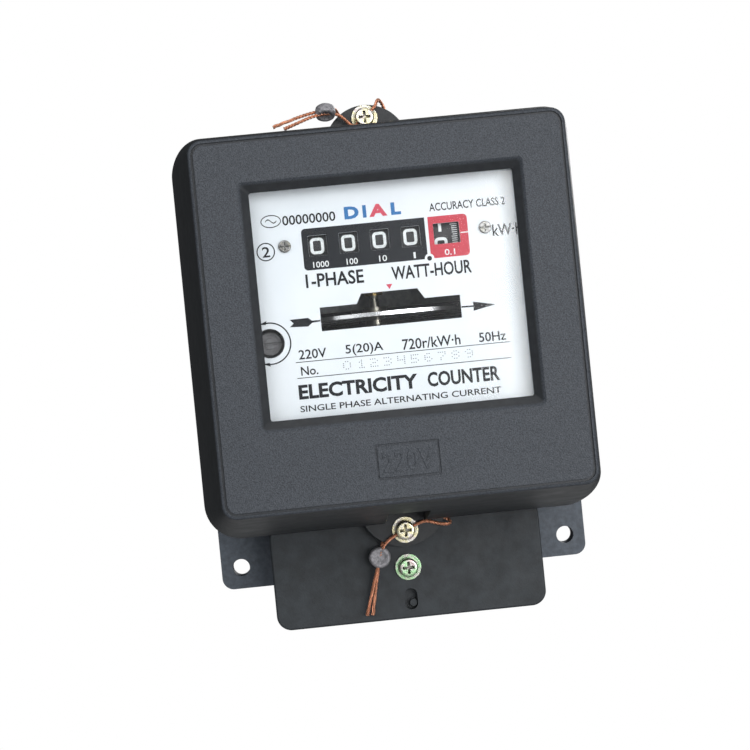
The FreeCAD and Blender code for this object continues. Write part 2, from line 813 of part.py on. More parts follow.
def terminals():
    """Four brass barrels with a clear cable bore and a strap into the case, and eight screws."""
    barrels = []
    for x in TERMINAL_PLACES:
        barrel = box((x - 4.5, x + 4.5), (15.0, 25.0), (cells.barrel_bottom, cells.barrel_top))
        strap = box((x - 2.0, x + 2.0), (17.0, 19.0), (cells.barrel_top - 0.5, -56.0))
        removed = [rod("up", cells.cable_bore, 15.0, x, 19.0, cells.barrel_bottom)]
        removed += [rod("front", 1.65, 4.0, x, 21.9, z) for z in SCREW_LEVELS]
        removed.append(rod("front", 1.1, 4.0, x, 16.0, -58.4))
        barrels.append(cut(join(barrel, strap), *removed))
    piece("terminals", apart(*barrels))
    clamps = []
    for x in TERMINAL_PLACES:
        for z in SCREW_LEVELS:
            shank = rod("front", 1.6, 3.2, x, 22.0, z)
            head = softened(rod("front", 2.9, 2.4, x, 25.1, z), 0.5, at_height(27.5))
            clamps.append(cut(join(shank, head), box((x - 3, x + 3), (26.3, 28.0), (z - 0.4, z + 0.4))))
    piece("terminal_screws", apart(*clamps))
    bridge = box((6.5, 29.5), (19.0, 20.2), (-60.8, -56.0))
    rivets = [rod("front", 1.08, 4.4, x, 17.0, -58.4) for x in TERMINAL_PLACES[2:]]
    heads = [rod("front", 1.9, 0.9, x, 20.1, -58.4) for x in TERMINAL_PLACES[2:]]
    piece("neutral_bridge", join(bridge, *rivets, *heads))


# ------------------------------------------------------------------ movement


def frame():
    """The cast plate that carries the magnets, the bearings and the register."""
    back, front = cells.frame_back, cells.frame_front
    axis = cells.rotor_x
    depth = cells.rotor_height
    plate = slab(49.0, 49.0, 4.0, (back, front), -3.0, 3.0)
    disc_slot = box((-47.0, 40.5), (back - 1.0, front + 1.0), (-2.6, 4.2))
    windows = [
        slab(8.0, 7.0, 2.0, (back - 1.0, front + 1.0), x, z)
        for x, z in ((-30.0, -22.0), (22.0, -22.0), (24.0, 22.0))
    ]
    arms = []
    removed = [disc_slot, *windows]
    for z in ((43.0, 50.0), (-46.0, -39.0)):
        arms.append(box((axis - 6.0, axis + 6.0), (front - 1.0, depth), z))
        arms.append(rod("up", 6.0, z[1] - z[0], axis, depth, z[0]))
    removed.append(rod("up", 3.0, 20.0, axis, depth, 40.0))
    removed.append(rod("up", 3.5, 20.0, axis, depth, -55.0))
    bosses = [rod("front", 4.5, 4.5, x, back - 4.0, z) for x, z in FRAME_POSTS]
    pads = [rod("front", 3.4, back - cells.core_front + 0.5, x, cells.core_front, z) for x, z in CORE_SCREWS]
    removed += [rod("front", 2.1, 14.0, x, back - 6.0, z) for x, z in FRAME_POSTS]
    removed += [rod("front", 1.5, 9.0, x, cells.core_front - 1.0, z) for x, z in CORE_SCREWS]
    removed += [rod("front", 1.5, 8.0, x, front - 6.0, z) for x, z in REGISTER_SCREWS + BRAKE_SCREWS]
    removed.append(rod("front", 1.5, 8.0, LEVER_PIVOT[0], front - 6.0, LEVER_PIVOT[1]))
    piece("mechanism_frame", cut(join(plate, *arms, *bosses, *pads), *removed))


def machine_screw(radius, head, x, seat, z, length, slot=0.5):
    """A slotted cheese-head screw whose head faces the front."""
    top = softened(rod("front", head, 2.0, x, seat, z), 0.4, at_height(seat + 2.0))
    shank = rod("front", radius, length, x, seat - length, z)
    groove = box((x - 4, x + 4), (seat + 1.1, seat + 3.0), (z - slot * 0.5, z + slot * 0.5))
    return cut(join(top, shank), groove)


def frame_fasteners():
    front = cells.frame_front
    piece("frame_screws", apart(*[machine_screw(1.65, 3.4, x, front, z, 16.0) for x, z in FRAME_POSTS]))
    small = [machine_screw(1.45, 2.6, x, front + 1.5, z, 6.5) for x, z in REGISTER_SCREWS]
    small += [machine_screw(1.45, 2.6, x, front + 2.5, z, 6.5) for x, z in BRAKE_SCREWS]
    piece("movement_screws", apart(*small))
    rear = []
    for x, z in CORE_SCREWS:
        head = rod("front", 2.8, 2.2, x, cells.core_back - 2.2, z)
        shank = rod("front", 1.45, 20.0, x, cells.core_back - 1.0, z)
        rear.append(cut(join(head, shank), box((x - 4, x + 4), (17.0, 18.8), (z - 0.3, z + 0.3))))
    piece("core_screws", apart(*rear))


def cores():
    """Laminated voltage core above the disc, current core and counter pole below it."""
    heights = (cells.core_back, cells.core_front)
    yoke = box((-33.5, 26.5), heights, (40.0, 48.0))
    limbs = [box((-33.5, -25.5), heights, (12.0, 41.0)), box((18.5, 26.5), heights, (12.0, 41.0))]
    pole = box((-10.5, 3.5), heights, (3.0, 41.0))
    holes = [rod("front", 1.5, 20.0, x, cells.core_back - 2.0, z) for x, z in CORE_SCREWS]
    piece("voltage_core", cut(join(yoke, pole, *limbs), *holes[:2]))
    bottom = box((-19.5, 12.5), heights, (-44.0, -36.0))
    poles = [box((-19.5, -11.5), heights, (-37.0, -1.7)), box((4.5, 12.5), heights, (-37.0, -1.7))]
    piece("current_core", cut(join(bottom, *poles), *holes[2:]))
    upright = box((-6.8, -0.2), (9.2, 11.6), (-7.4, 48.0))
    foot = box((-6.8, -0.2), (9.2, 32.0), (-7.4, -3.4))
    top = box((-6.8, -0.2), (9.2, 19.9), (44.6, 48.0))
    piece("counter_pole", join(upright, foot, top))


def coils():
    """The voltage coil on its bobbin, and the two heavy current coils."""
    hole = box((-10.8, 3.8), (cells.core_back - 0.3, cells.core_front + 0.3), (10.0, 45.0))
    core_tube = box((-11.8, 4.8), (18.7, 35.3), (14.0, 38.0))
    flanges = [box((-22.5, 15.5), (12.2, 41.6), z) for z in ((14.0, 15.2), (36.8, 38.0))]
    piece("voltage_bobbin", cut(join(core_tube, *flanges), hole))
    winding = box((-21.0, 14.0), (13.4, 40.4), (15.25, 36.75))
    winding = softened(winding, 3.0, lambda edge, middle: abs(edge.Length - 21.5) < 0.01)
    piece("voltage_winding", cut(winding, box((-11.85, 4.85), (18.65, 35.35), (10.0, 45.0))))
    for name, x in (("current_coil_left", -15.5), ("current_coil_right", 8.5)):
        turns = []
        for turn in range(9):
            level = -32.5 + turn * 2.6
            block = box((x - 7.6, x + 7.6), (16.4, 37.6), (level, level + 2.7))
            turns.append(softened(block, 1.1, wide_edges))
        stack = join(*turns)
        piece(name, cut(stack, box((x - 4.2, x + 4.2), (19.8, 34.2), (-40.0, 0.0))))


def wide_edges(edge, middle):
    """Picks the level edges of a block."""
    first, last = edge.Vertexes[0].Point, edge.Vertexes[-1].Point
    return abs(first.z - last.z) < 0.01


def upright_edges(edge, middle):
    """Picks the edges of a block that run up and down."""
    first, last = edge.Vertexes[0].Point, edge.Vertexes[-1].Point
    return abs(first.z - last.z) > 0.01


def current_leads():
    """Thick copper leads from the line terminals to the current coils."""
    leads = []
    for terminal, coil in ((-27.0, -15.5), (-9.0, 8.5)):
        corners = [(terminal, 20.6, -50.0), (coil, 20.6, -50.0)]
        path = tube_path([(terminal, 20.6, -57.4), *corners, (coil, 27.0, -50.0)], 2.5)
        leads.append(solid(swept_tube(path, 1.1), "lead"))
    piece("current_leads", apart(*leads))


def rotor():
    """Aluminium disc, spindle with a cut worm, and the anti-creep hook."""
    axis, depth = float(cells.rotor_x), float(cells.rotor_height)
    low, thick = cells.disc_bottom, cells.disc_thickness
    disc = rod("up", cells.disc_radius, thick, cells.rotor_x, cells.rotor_height, low)
    holes = [rod("up", cells.spindle_radius, 4.0, cells.rotor_x, cells.rotor_height, -1.0)]
    for angle in (60, 240):
        x = axis + 27 * math.cos(math.radians(angle))
        height = depth + 27 * math.sin(math.radians(angle))
        holes.append(rod("up", 1.2, 4.0, x, height, -1.0))
    piece("rotor_disc", cut(disc, *holes))
    core = Part.makeCylinder(float(cells.spindle_radius), 79.0, Vector(axis, -depth, -37.5))
    pivot = Part.makeCylinder(0.5, 3.0, Vector(axis, -depth, -40.3))
    hub = Part.makeCylinder(4.0, 3.0, Vector(axis, -depth, float(low + thick)))
    collar = Part.makeCylinder(3.4, 1.8, Vector(axis, -depth, float(low) - 1.8))
    shape = core.fuse([pivot, hub, collar]).fuse(worm_thread(axis, depth))
    bore = Part.makeCylinder(0.56, 5.0, Vector(axis, -depth, 37.5))
    piece("rotor_spindle", solid(shape.cut(bore), "spindle"))
    ring = rod("up", 3.0, 1.6, cells.rotor_x, cells.rotor_height, 8.0)
    tongue = box((axis - 0.4, axis + 0.4), (depth + 2.0, depth + 7.5), (8.4, 9.2))
    bore = rod("up", cells.spindle_radius, 4.0, cells.rotor_x, cells.rotor_height, 7.0)
    piece("creep_hook", cut(join(ring, tongue), bore))


def worm_thread(axis, depth):
    """A left-hand single-start thread on its core, in mesh with the worm wheel."""
    _, module = GEAR_STEPS["worm_wheel"]
    pitch = math.pi * module
    pitch_radius = float(cells.wheel_height) - depth - gear_radius("worm_wheel")
    root = pitch_radius - 1.15 * module - 0.05
    tip = pitch_radius + 0.85 * module
    turns = 9
    start = float(cells.wheel_level) + pitch * (0.25 - 5)
    helix = Part.makeHelix(pitch, pitch * turns, root, 0, True)
    half_root, half_tip = 0.28 * pitch, 0.11 * pitch
    profile = [(root - 0.1, -half_root), (tip, -half_tip), (tip, half_tip), (root - 0.1, half_root)]
    corners = [Vector(radius, 0, z) for radius, z in profile]
    thread = Part.Wire(helix.Edges).makePipeShell([Part.makePolygon(corners + corners[:1])], True, True)
    core = Part.makeCylinder(root, pitch * turns + 2.4, Vector(0, 0, -1.2))
    worm = core.fuse(thread)
    worm.translate(Vector(axis, -depth, start))
    return worm


def bearings():
    axis, depth = cells.rotor_x, cells.rotor_height
    bush = rod("up", 3.0, 9.0, axis, depth, 42.6)
    cap = rod("up", 4.2, 1.4, axis, depth, 50.0)
    needle = rod("up", 0.5, 4.8, axis, depth, 38.2)
    piece("upper_bearing", join(bush, cap, needle))
    cup = rod("up", 3.5, 9.5, axis, depth, -47.6)
    nut = rod("up", 5.0, 2.0, axis, depth, -48.4)
    pivot_bore = rod("up", 0.56, 4.0, axis, depth, -40.6)
    piece("lower_bearing", cut(join(cup, nut), pivot_bore))


def brake():
    """Two brake magnets in a steel yoke, with the full-load adjusting screw in front."""
    yoke = [
        box((-50.0, -47.4), (62.0, 86.0), (-14.0, 16.0)),
        box((-50.0, -29.6), (62.0, 86.0), (13.0, 16.0)),
        box((-50.0, -29.6), (62.0, 86.0), (-14.0, -11.0)),
        box((-50.0, -47.4), (48.0, 63.0), (-14.0, 16.0)),
        box((-50.0, -38.5), (48.0, 50.5), (7.0, 15.0)),
        box((-50.0, -38.5), (48.0, 50.5), (-13.0, -5.0)),
        box((-50.0, -32.0), (84.0, 86.0), (-12.0, -2.6)),
    ]
    holes = [rod("front", 1.5, 4.0, x, 47.0, z) for x, z in BRAKE_SCREWS]
    holes.append(rod("front", 2.0, 6.0, ADJUSTER[0], 82.0, ADJUSTER[1]))
    piece("brake_yoke", cut(join(*yoke), *holes))
    magnets = []
    for levels in ((3.7, 13.0), (-11.0, -2.4)):
        block = box((-45.0, -30.5), (65.0, 82.5), levels)
        magnets.append(softened(block, 1.2, upright_edges))
    piece("brake_magnets", apart(*magnets))
    x, z = ADJUSTER
    shank = rod("front", 2.0 - cells.running_gap.value, 13.0, x, 83.2, z)
    head = softened(rod("front", 3.8, 3.4, x, 96.0, z), 0.5, at_height(99.4))
    ring = cut(rod("front", 2.7, 2.0, x, 98.9, z), rod("front", 1.7, 2.0, x, 98.9, z))
    boss = rod("front", 1.4, 0.5, x, 98.9, z)
    slot = box((x - 5, x + 5), (98.2, 101.0), (z - 0.35, z + 0.35))
    piece("full_load_adjuster", cut(join(shank, cut(head, ring), boss), slot))


def light_load():
    """A pivoting brass lever beside the voltage pole, on its own screw."""
    x, z = LEVER_PIVOT
    front = float(cells.frame_front)
    lever = [
        rod("front", 3.2, 1.2, x, front + 0.3, z),
        box((x, x + 13.0), (front + 0.3, front + 1.5), (z - 1.6, z + 1.6)),
        rod("front", 1.6, 1.2, x + 13.0, front + 0.3, z),
    ]
    piece("light_load_lever", cut(join(*lever), rod("front", 1.75, 4.0, x, front - 1.0, z)))
    shoulder = rod("front", 1.7, 1.85, x, front, z)
    head = softened(rod("front", 2.8, 1.6, x, front + 1.8, z), 0.4, at_height(front + 3.4))
    shank = rod("front", 1.45, 5.0, x, front - 5.0, z)
    slot = box((x - 4, x + 4), (front + 2.6, front + 4.0), (z - 0.3, z + 0.3))
    piece("lever_screw", cut(join(shoulder, head, shank), slot))


# ------------------------------------------------------------------ register


def drum_x(index):
    return float(cells.first_drum_x) + index * float(cells.drum_pitch)


def carry_axis():
    """(height, level) of the shaft of the carry pinions, behind and below the drums."""
    reach = gear_radius("carry_wheel") + gear_radius("carry_pinion")
    away = reach / math.sqrt(2)
    return (float(cells.drum_height) - away, float(cells.drum_level) - away)


def drums():
    """Five number drums; each black one has a carry wheel on its right."""
    height, level = float(cells.drum_height), float(cells.drum_level)
    half = float(cells.drum_width) / 2
    radius = float(cells.drum_radius)
    bore = float(cells.register_shaft) + float(cells.running_gap)
    facing = angle_to((height, level), carry_axis())
    for index, name in enumerate(DRUM_NAMES):
        x = drum_x(index)
        tenths = name == "drum_tenths"
        right = TENTHS_RIGHT if tenths else x + half
        rim = Part.makeCylinder(radius, right - x + half, Vector(x - half, 0, 0), Vector(1, 0, 0))
        dish = Part.makeCylinder(radius - 1.2, 2.0, Vector(x - half, 0, 0), Vector(1, 0, 0))
        hub = Part.makeCylinder(3.0, 2.0, Vector(x - half, 0, 0), Vector(1, 0, 0))
        shape = rim.cut(dish.cut(hub))
        if tenths:
            wheel = gear_shape("tenths_wheel", 1.3, angle_to((height, level), idler_axis()))
            wheel.translate(Vector(right + 0.3, 0, 0))
            neck = Part.makeCylinder(4.0, 0.4, Vector(right - 0.05, 0, 0), Vector(1, 0, 0))
        else:
            wheel = gear_shape("carry_wheel", 0.9, facing)
            wheel.translate(Vector(right + 0.2, 0, 0))
            neck = Part.makeCylinder(4.0, 0.3, Vector(right - 0.05, 0, 0), Vector(1, 0, 0))
        shape = shape.fuse([wheel, neck])
        if index:
            shape = shape.fuse(carry_disc(x - half))
        shape = shape.cut(Part.makeCylinder(bore, 20, Vector(x - 10, 0, 0), Vector(1, 0, 0)))
        piece(name, solid(moved(shape, 0, height, level), "drum"))


def carry_disc(left_face):
    """A plain disc on a drum's left, where a stepping carry would have its two teeth."""
    disc = Part.makeCylinder(6.6, 0.5, Vector(left_face - 0.5, 0, 0), Vector(1, 0, 0))
    return disc.fuse(Part.makeCylinder(3.0, 0.6, Vector(left_face - 0.5, 0, 0), Vector(1, 0, 0)))


def carry_pinions():
    height, level = carry_axis()
    drum = (float(cells.drum_height), float(cells.drum_level))
    phase = angle_to((height, level), drum) + half_step("carry_pinion")
    half = float(cells.drum_width) / 2
    bore = 1.0 + float(cells.running_gap)
    for index in range(4):
        gear = gear_shape("carry_pinion", 1.2, phase, bore)
        x = drum_x(index) + half + GEAR_GAP
        piece(f"carry_pinion_{index + 1}", solid(moved(gear, x, height, level), "pinion"))
    shaft = Part.makeCylinder(1.0, 58.2, Vector(-28.5, 0, 0), Vector(1, 0, 0))
    collars = []
    for index in range(4):
        left = drum_x(index) + half + GEAR_GAP + 1.2 + 0.1
        collars.append(Part.makeCylinder(1.5, 0.6, Vector(left, 0, 0), Vector(1, 0, 0)))
    piece("carry_shaft", solid(moved(shaft.fuse(collars), 0, height, level), "shaft"))


def gear_train():
    """Worm wheel shaft and idler shaft, from the rotor to the tenths drum."""
    wheel_axis = (float(cells.wheel_height), float(cells.wheel_level))
    drum_axis = (float(cells.drum_height), float(cells.drum_level))
    idler = idler_axis()
    worm_x = float(cells.rotor_x)
    wheel = gear_shape("worm_wheel", 1.2, 0.0)
    wheel.translate(Vector(worm_x - 0.6, 0, 0))
    hub = Part.makeCylinder(2.6, 4.0, Vector(worm_x + 0.5, 0, 0), Vector(1, 0, 0))
    shaft = Part.makeCylinder(1.0, 57.0, Vector(-28.0, 0, 0), Vector(1, 0, 0))
    pinion = gear_shape("wheel_pinion", 1.4, angle_to(wheel_axis, idler))
    pinion.translate(Vector(25.2, 0, 0))
    shape = wheel.fuse([hub, shaft, pinion])
    piece("worm_wheel", solid(moved(shape, 0, *wheel_axis), "wheel"))
    large_phase = angle_to(idler, wheel_axis) + half_step("idler_wheel")
    large = gear_shape("idler_wheel", 1.2, large_phase)
    large.translate(Vector(25.3, 0, 0))
    small_phase = angle_to(idler, drum_axis) + half_step("idler_pinion")
    small = gear_shape("idler_pinion", 1.5, small_phase)
    small.translate(Vector(22.5, 0, 0))
    shaft = Part.makeCylinder(1.0, 8.2, Vector(21.0, 0, 0), Vector(1, 0, 0))
    neck = Part.makeCylinder(1.9, 1.5, Vector(23.9, 0, 0), Vector(1, 0, 0))
    piece("idler_gear", solid(moved(large.fuse([small, shaft, neck]), 0, *idler), "idler"))


def register_frame():
    """Two side plates and a top plate that hold the shafts and the dial."""
    sides = []
    low, top = 12.0, 46.0
    for x in (-28.5, 28.2):
        foot = [(79.0, low - 1.2), (88.0, low - 1.2)]
        outline_points = [(66.0, 20.5), *foot, (99.5, 19.0), (99.5, top), (66.0, top)]
        sides.append(prism("right", x, 1.5, outline_points))
    roof = cut(box((-28.5, 29.7), (50.0, 99.5), (44.6, 46.0)), box((-13.0, 6.0), (45.0, 66.5), (44.0, 47.0)))
    flanges = [box(x, (48.0, 49.5), (44.6, 51.8)) for x in ((-28.5, -13.0), (6.0, 29.7))]
    roof_back = [box(x, (48.0, 51.0), (44.6, 46.0)) for x in ((-28.5, -13.0), (6.0, 29.7))]
    posts = [rod("front", 2.4, cells.dial_back - 68.0, x, 68.0, DIAL_SCREWS[1]) for x in (-30.5, 30.5)]
    removed = [rod("front", 1.2, 12.0, x, cells.dial_back - 10.0, DIAL_SCREWS[1]) for x in (-30.5, 30.5)]
    removed += [rod("front", 1.5, 4.0, x, 47.0, z) for x, z in REGISTER_SCREWS]
    running = float(cells.running_gap)
    carry = carry_axis()
    idler = idler_axis()
    removed.append(rod("right", cells.register_shaft, 60.0, -29.0, cells.drum_height, cells.drum_level))
    removed.append(rod("right", 1.0, 60.0, -29.0, carry[0], carry[1]))
    removed.append(rod("right", 1.0 + running, 60.0, -29.0, cells.wheel_height, cells.wheel_level))
    removed.append(rod("right", 1.0 + running, 10.0, 24.0, idler[0], idler[1]))
    removed.append(rod("right", 1.0 + running, 4.0, 20.0, idler[0], idler[1]))
    bracket = box((20.8, 22.2), (idler[0] - 3.5, idler[0] + 1.1), (idler[1] - 1.2, 45.0))
    piece("register_frame", cut(join(*sides, roof, *flanges, *roof_back, *posts, bracket), *removed))
    shaft = rod("right", cells.register_shaft, 58.2, -28.5, cells.drum_height, cells.drum_level)
    piece("drum_shaft", shaft)


def dial():
    """The printed dial plate with its cut-outs, and the two screws that hold it."""
    heights = (cells.dial_back, cells.dial_back + cells.dial_thickness)
    start, through = float(cells.dial_back) - 1.0, 3.0
    plate = slab(46.0, 40.0, 2.0, heights, 0, 6.0)
    removed = []
    cut_heights = (cells.dial_back - 1.0, cells.dial_back + 2.0)
    for index in range(4):
        removed.append(slab(2.85, 3.1, 0.3, cut_heights, drum_x(index), cells.drum_level))
    removed.append(slab(3.95, 3.15, 0.2, cut_heights, 18.75, cells.drum_level))
    foot = [(-21.8, -3.1), (20.9, -3.1), (20.9, 3.9)]
    slot = [*foot, (10.2, 3.9), (8.2, 7.1), (-8.9, 7.1), (-10.5, 4.1), (-21.8, 4.1)]
    removed.append(prism("front", start, through, slot))
    removed.append(rod("front", 4.45, through, ADJUSTER[0], start, ADJUSTER[1]))
    for x in (-1, 1):
        removed.append(rod("front", 1.35, through, DIAL_SCREWS[0] * x, start, DIAL_SCREWS[1]))
    piece("dial_plate", cut(plate, *removed))
    seat = float(cells.dial_back + cells.dial_thickness)
    made = []
    for x in (-DIAL_SCREWS[0], DIAL_SCREWS[0]):
        head = softened(rod("front", 1.9, 0.9, x, seat, DIAL_SCREWS[1]), 0.35, at_height(seat + 0.9))
        shank = rod("front", 1.18, 8.0, x, seat - 8.0, DIAL_SCREWS[1])
        recess = (seat + 0.45, seat + 2.0)
        slot = box((x - 2, x + 2), recess, (DIAL_SCREWS[1] - 0.2, DIAL_SCREWS[1] + 0.2))
        cross = box((x - 0.2, x + 0.2), recess, (DIAL_SCREWS[1] - 1.2, DIAL_SCREWS[1] + 1.2))
        made.append(cut(join(head, shank), slot, cross))
    piece("dial_screws", apart(*made))


# ------------------------------------------------------------------ seals


def tube_path(route, bend=None):
    """Straight runs joined by tangent arcs through a route's points, as one wire."""
    points = [Vector(x, -height, z) for x, height, z in route]
    edges = []
    start = points[0]
    radii = []
    for before, corner, after in zip(points, points[1:], points[2:]):
        incoming = (corner - before).normalize()
        outgoing = (after - corner).normalize()
        turn = incoming.getAngle(outgoing)
        shorter = min((corner - before).Length, (after - corner).Length)
        reach = 0.45 * shorter
        if bend:
            reach = min(reach, bend * math.tan(turn / 2))
        radii.append(reach / math.tan(turn / 2))
        enter = corner - incoming * reach
        leave = corner + outgoing * reach
        inward = (outgoing - incoming).normalize()
        centre = corner + inward * (reach / math.sin(turn / 2))
        middle = centre - inward * radii[-1]
        edges.append(Part.LineSegment(start, enter).toShape())
        edges.append(Part.Arc(enter, middle, leave).toShape())
        start = leave
    edges.append(Part.LineSegment(start, points[-1]).toShape())
    print("bend radii", [round(r, 1) for r in radii])
    return Part.Wire(edges)


def swept_tube(path, radius):
    """A round tube along a wire, checked against its section times its length."""
    start = path.Edges[0]
    direction = start.tangentAt(start.FirstParameter)
    section = Part.Wire(Part.Circle(start.valueAt(start.FirstParameter), direction, radius).toShape())
    tube = path.makePipeShell([section], True, False)
    expected = math.pi * radius**2 * path.Length
    if abs(tube.Volume / expected - 1) > 0.01:
        raise ValueError(f"tube volume {tube.Volume:.2f}, expected {expected:.2f}")
    print("tube length", round(path.Length, 1))
    return tube


def seals():
    """Sealing wires, each pair pressed into a lead seal."""
    wires = {}
    for name, route in WIRE_ROUTES.items():
        wires[name] = swept_tube(tube_path(route), float(cells.wire_radius))
        piece(name, solid(wires[name], "wire"))
    lower = lead_disc(Vector(-9.4, -38.2, -79.1), Vector(0, -1, 0), 3.7, 3.8)
    upper = lead_disc(Vector(-13.0, -43.8, 71.3), Vector(0, -0.5, -0.87), 3.5, 3.6)
    for name, disc in (("lower", lower), ("upper", upper)):
        pressed = disc.cut([wires[f"{name}_seal_wire_a"], wires[f"{name}_seal_wire_b"]])
        piece(f"{name}_seal", solid(pressed, "seal"))


def lead_disc(centre, axis, radius, thickness):
    """A round lead seal with crimped edges."""
    axis = axis.normalize()
    disc = Part.makeCylinder(radius, thickness, centre - axis * (thickness / 2), axis)
    rims = [edge for edge in disc.Edges if edge.Curve.TypeId == "Part::GeomCircle"]
    return disc.makeFillet(0.7, rims)


# ------------------------------------------------------------------ writing


def check():
    """Stops if any object failed or any sub-part has no valid solid."""
    broken = [thing.Name for thing in doc.Objects if {"Invalid", "Error"} & set(thing.State)]
    if broken:
        raise RuntimeError(f"objects that failed: {broken}")
    for name, thing in pieces.items():
        shape = thing.Shape
        if shape.isNull() or not shape.isValid() or not shape.Solids:
            raise RuntimeError(f"{name} has no valid solid")


def write():
    os.makedirs("parts", exist_ok=True)
    for name, thing in sorted(pieces.items()):
        thing.Shape.exportStep(f"parts/{name}.step")
        shape = thing.Shape
        print(f"{name:22s} solids {len(shape.Solids)} volume {shape.Volume:10.2f}")
    print(len(pieces), "sub-parts")


fill_sheet()
for make in (
    front_cover,
    window,
    base,
    cover_gasket,
    hanger,
    inserts,
    screws,
    terminal_cover,
    terminal_block,
    terminals,
    frame,
    frame_fasteners,
    cores,
    coils,
    current_leads,
    rotor,
    bearings,
    brake,
    light_load,
    drums,
    carry_pinions,
    gear_train,
    register_frame,
    dial,
    seals,
):
    make()
doc.recompute()
check()
write()
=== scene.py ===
import math

import bmesh
import bpy
from mathutils import Matrix, Vector, noise


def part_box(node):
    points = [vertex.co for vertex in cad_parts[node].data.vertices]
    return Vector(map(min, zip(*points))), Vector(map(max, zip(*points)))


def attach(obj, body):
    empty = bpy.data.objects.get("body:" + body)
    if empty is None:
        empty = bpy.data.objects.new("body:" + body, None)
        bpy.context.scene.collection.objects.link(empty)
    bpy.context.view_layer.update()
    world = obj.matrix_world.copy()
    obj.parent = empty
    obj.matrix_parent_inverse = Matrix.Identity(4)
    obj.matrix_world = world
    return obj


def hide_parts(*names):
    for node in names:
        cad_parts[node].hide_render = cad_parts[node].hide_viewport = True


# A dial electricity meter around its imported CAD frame. Lengths in this script are in
# millimetres until a point is placed, and heights are distances in front of the wall.

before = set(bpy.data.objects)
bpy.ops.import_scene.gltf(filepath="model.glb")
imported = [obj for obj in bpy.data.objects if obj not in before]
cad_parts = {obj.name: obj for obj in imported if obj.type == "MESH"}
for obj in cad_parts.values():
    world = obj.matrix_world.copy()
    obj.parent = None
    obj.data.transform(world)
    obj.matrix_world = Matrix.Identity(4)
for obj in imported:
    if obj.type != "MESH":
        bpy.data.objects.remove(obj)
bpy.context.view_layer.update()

MM = 0.001
DIAL_FRONT = -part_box("dial_plate")[0].y / MM
PLATE_FRONT = -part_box("front_cover")[0].y / MM
DRUM_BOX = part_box("drum_units")
DRUM_RADIUS = (DRUM_BOX[1].z - DRUM_BOX[0].z) / 2 / MM
DRUM_HEIGHT = -(DRUM_BOX[0].y + DRUM_BOX[1].y) / 2 / MM
DRUM_LEVEL = (DRUM_BOX[0].z + DRUM_BOX[1].z) / 2 / MM
DISC_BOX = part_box("rotor_disc")

WIRE_ROUTES = {
    "lower_seal_wire_a": [
        (3.1, 35.1, -67.0),
        (7.5, 35.1, -66.6),
        (12.2, 35.1, -67.3),
        (15.7, 35.9, -69.0),
        (15.4, 39.6, -70.3),
        (11.4, 41.3, -69.6),
        (7.2, 41.1, -67.9),
        (3.7, 40.9, -69.07),
        (0.0, 40.9, -70.6),
        (-3.7, 40.9, -72.13),
        (-6.2, 40.7, -73.6),
        (-7.9, 39.7, -75.4),
        (-9.0, 39.0, -78.0),
        (-10.4, 38.7, -82.4),
        (-12.1, 38.3, -87.4),
        (-13.8, 37.8, -92.8),
        (-15.5, 37.3, -98.4),
    ],
    "lower_seal_wire_b": [
        (-3.1, 35.1, -67.0),
        (-5.8, 35.1, -67.2),
        (-7.1, 35.1, -69.9),
        (-7.4, 35.1, -73.2),
        (-8.5, 36.2, -76.4),
        (-9.7, 37.2, -80.4),
        (-10.9, 37.0, -85.8),
        (-12.3, 36.8, -91.8),
        (-13.6, 36.4, -98.5),
    ],
    "upper_seal_wire_a": [
        (3.1, 33.0, 65.1),
        (6.2, 33.0, 65.4),
        (7.8, 33.2, 68.6),
        (7.2, 33.8, 72.6),
        (5.7, 36.4, 74.8),
        (4.9, 39.6, 74.4),
        (3.9, 40.9, 71.97),
        (0.0, 40.9, 68.7),
        (-2.6, 40.9, 66.52),
        (-4.6, 41.2, 66.1),
        (-6.6, 42.3, 68.4),
        (-9.2, 44.0, 70.4),
        (-13.2, 44.7, 70.8),
        (-17.8, 45.2, 70.0),
        (-22.6, 45.5, 68.3),
        (-27.3, 45.6, 66.7),
    ],
    "upper_seal_wire_b": [
        (-3.1, 33.0, 65.1),
        (-6.2, 33.0, 65.6),
        (-7.9, 33.2, 70.2),
        (-8.9, 34.8, 72.4),
        (-9.7, 38.2, 72.9),
        (-10.9, 41.2, 72.6),
        (-13.4, 42.9, 72.0),
        (-17.9, 43.4, 71.5),
        (-24.0, 43.7, 70.0),
        (-30.9, 43.9, 67.9),
    ],
}
SEALS = {
    "lower_seal": ((-9.4, 38.2, -79.1), (0, 1, 0), 3.7, 3.7),
    "upper_seal": ((-13.0, 43.8, 71.3), (0, 0.5, -0.87), 3.5, 3.5),
}


def at(x, height, z):
    """A point in the row frame, from millimetres."""
    return Vector((x, -height, z)) * MM


# ------------------------------------------------------------------ camera and light

CAMERA_PLACE = (-0.026469, -0.679056, -0.018467)
# turns about Y, X and Z, in radians
CAMERA_TURNS = ((-0.098971, "Y"), (-0.0010928, "X"), (0.033611, "Z"))
LENS, SENSOR = 91.2, 36.0

# name: (place, width, height, watts), in metres; each lamp faces the meter
LAMPS = {
    "key": ((0.56, -1.15, 0.10), 0.86, 0.75, 14),
    "fill": ((-0.45, -1.05, 0.45), 0.7, 0.7, 5),
    "top": ((0.15, -0.35, 1.1), 0.8, 0.6, 2.5),
    "back": ((0.8, 1.1, 0.6), 0.9, 0.9, 12),
}
# strength of the studio's white in front of the meter and behind it
STUDIO_FRONT, STUDIO_BACK = 0.34, 0.05

FLOOR_LEVEL, FLOOR_RADIUS = -0.5, 1.2


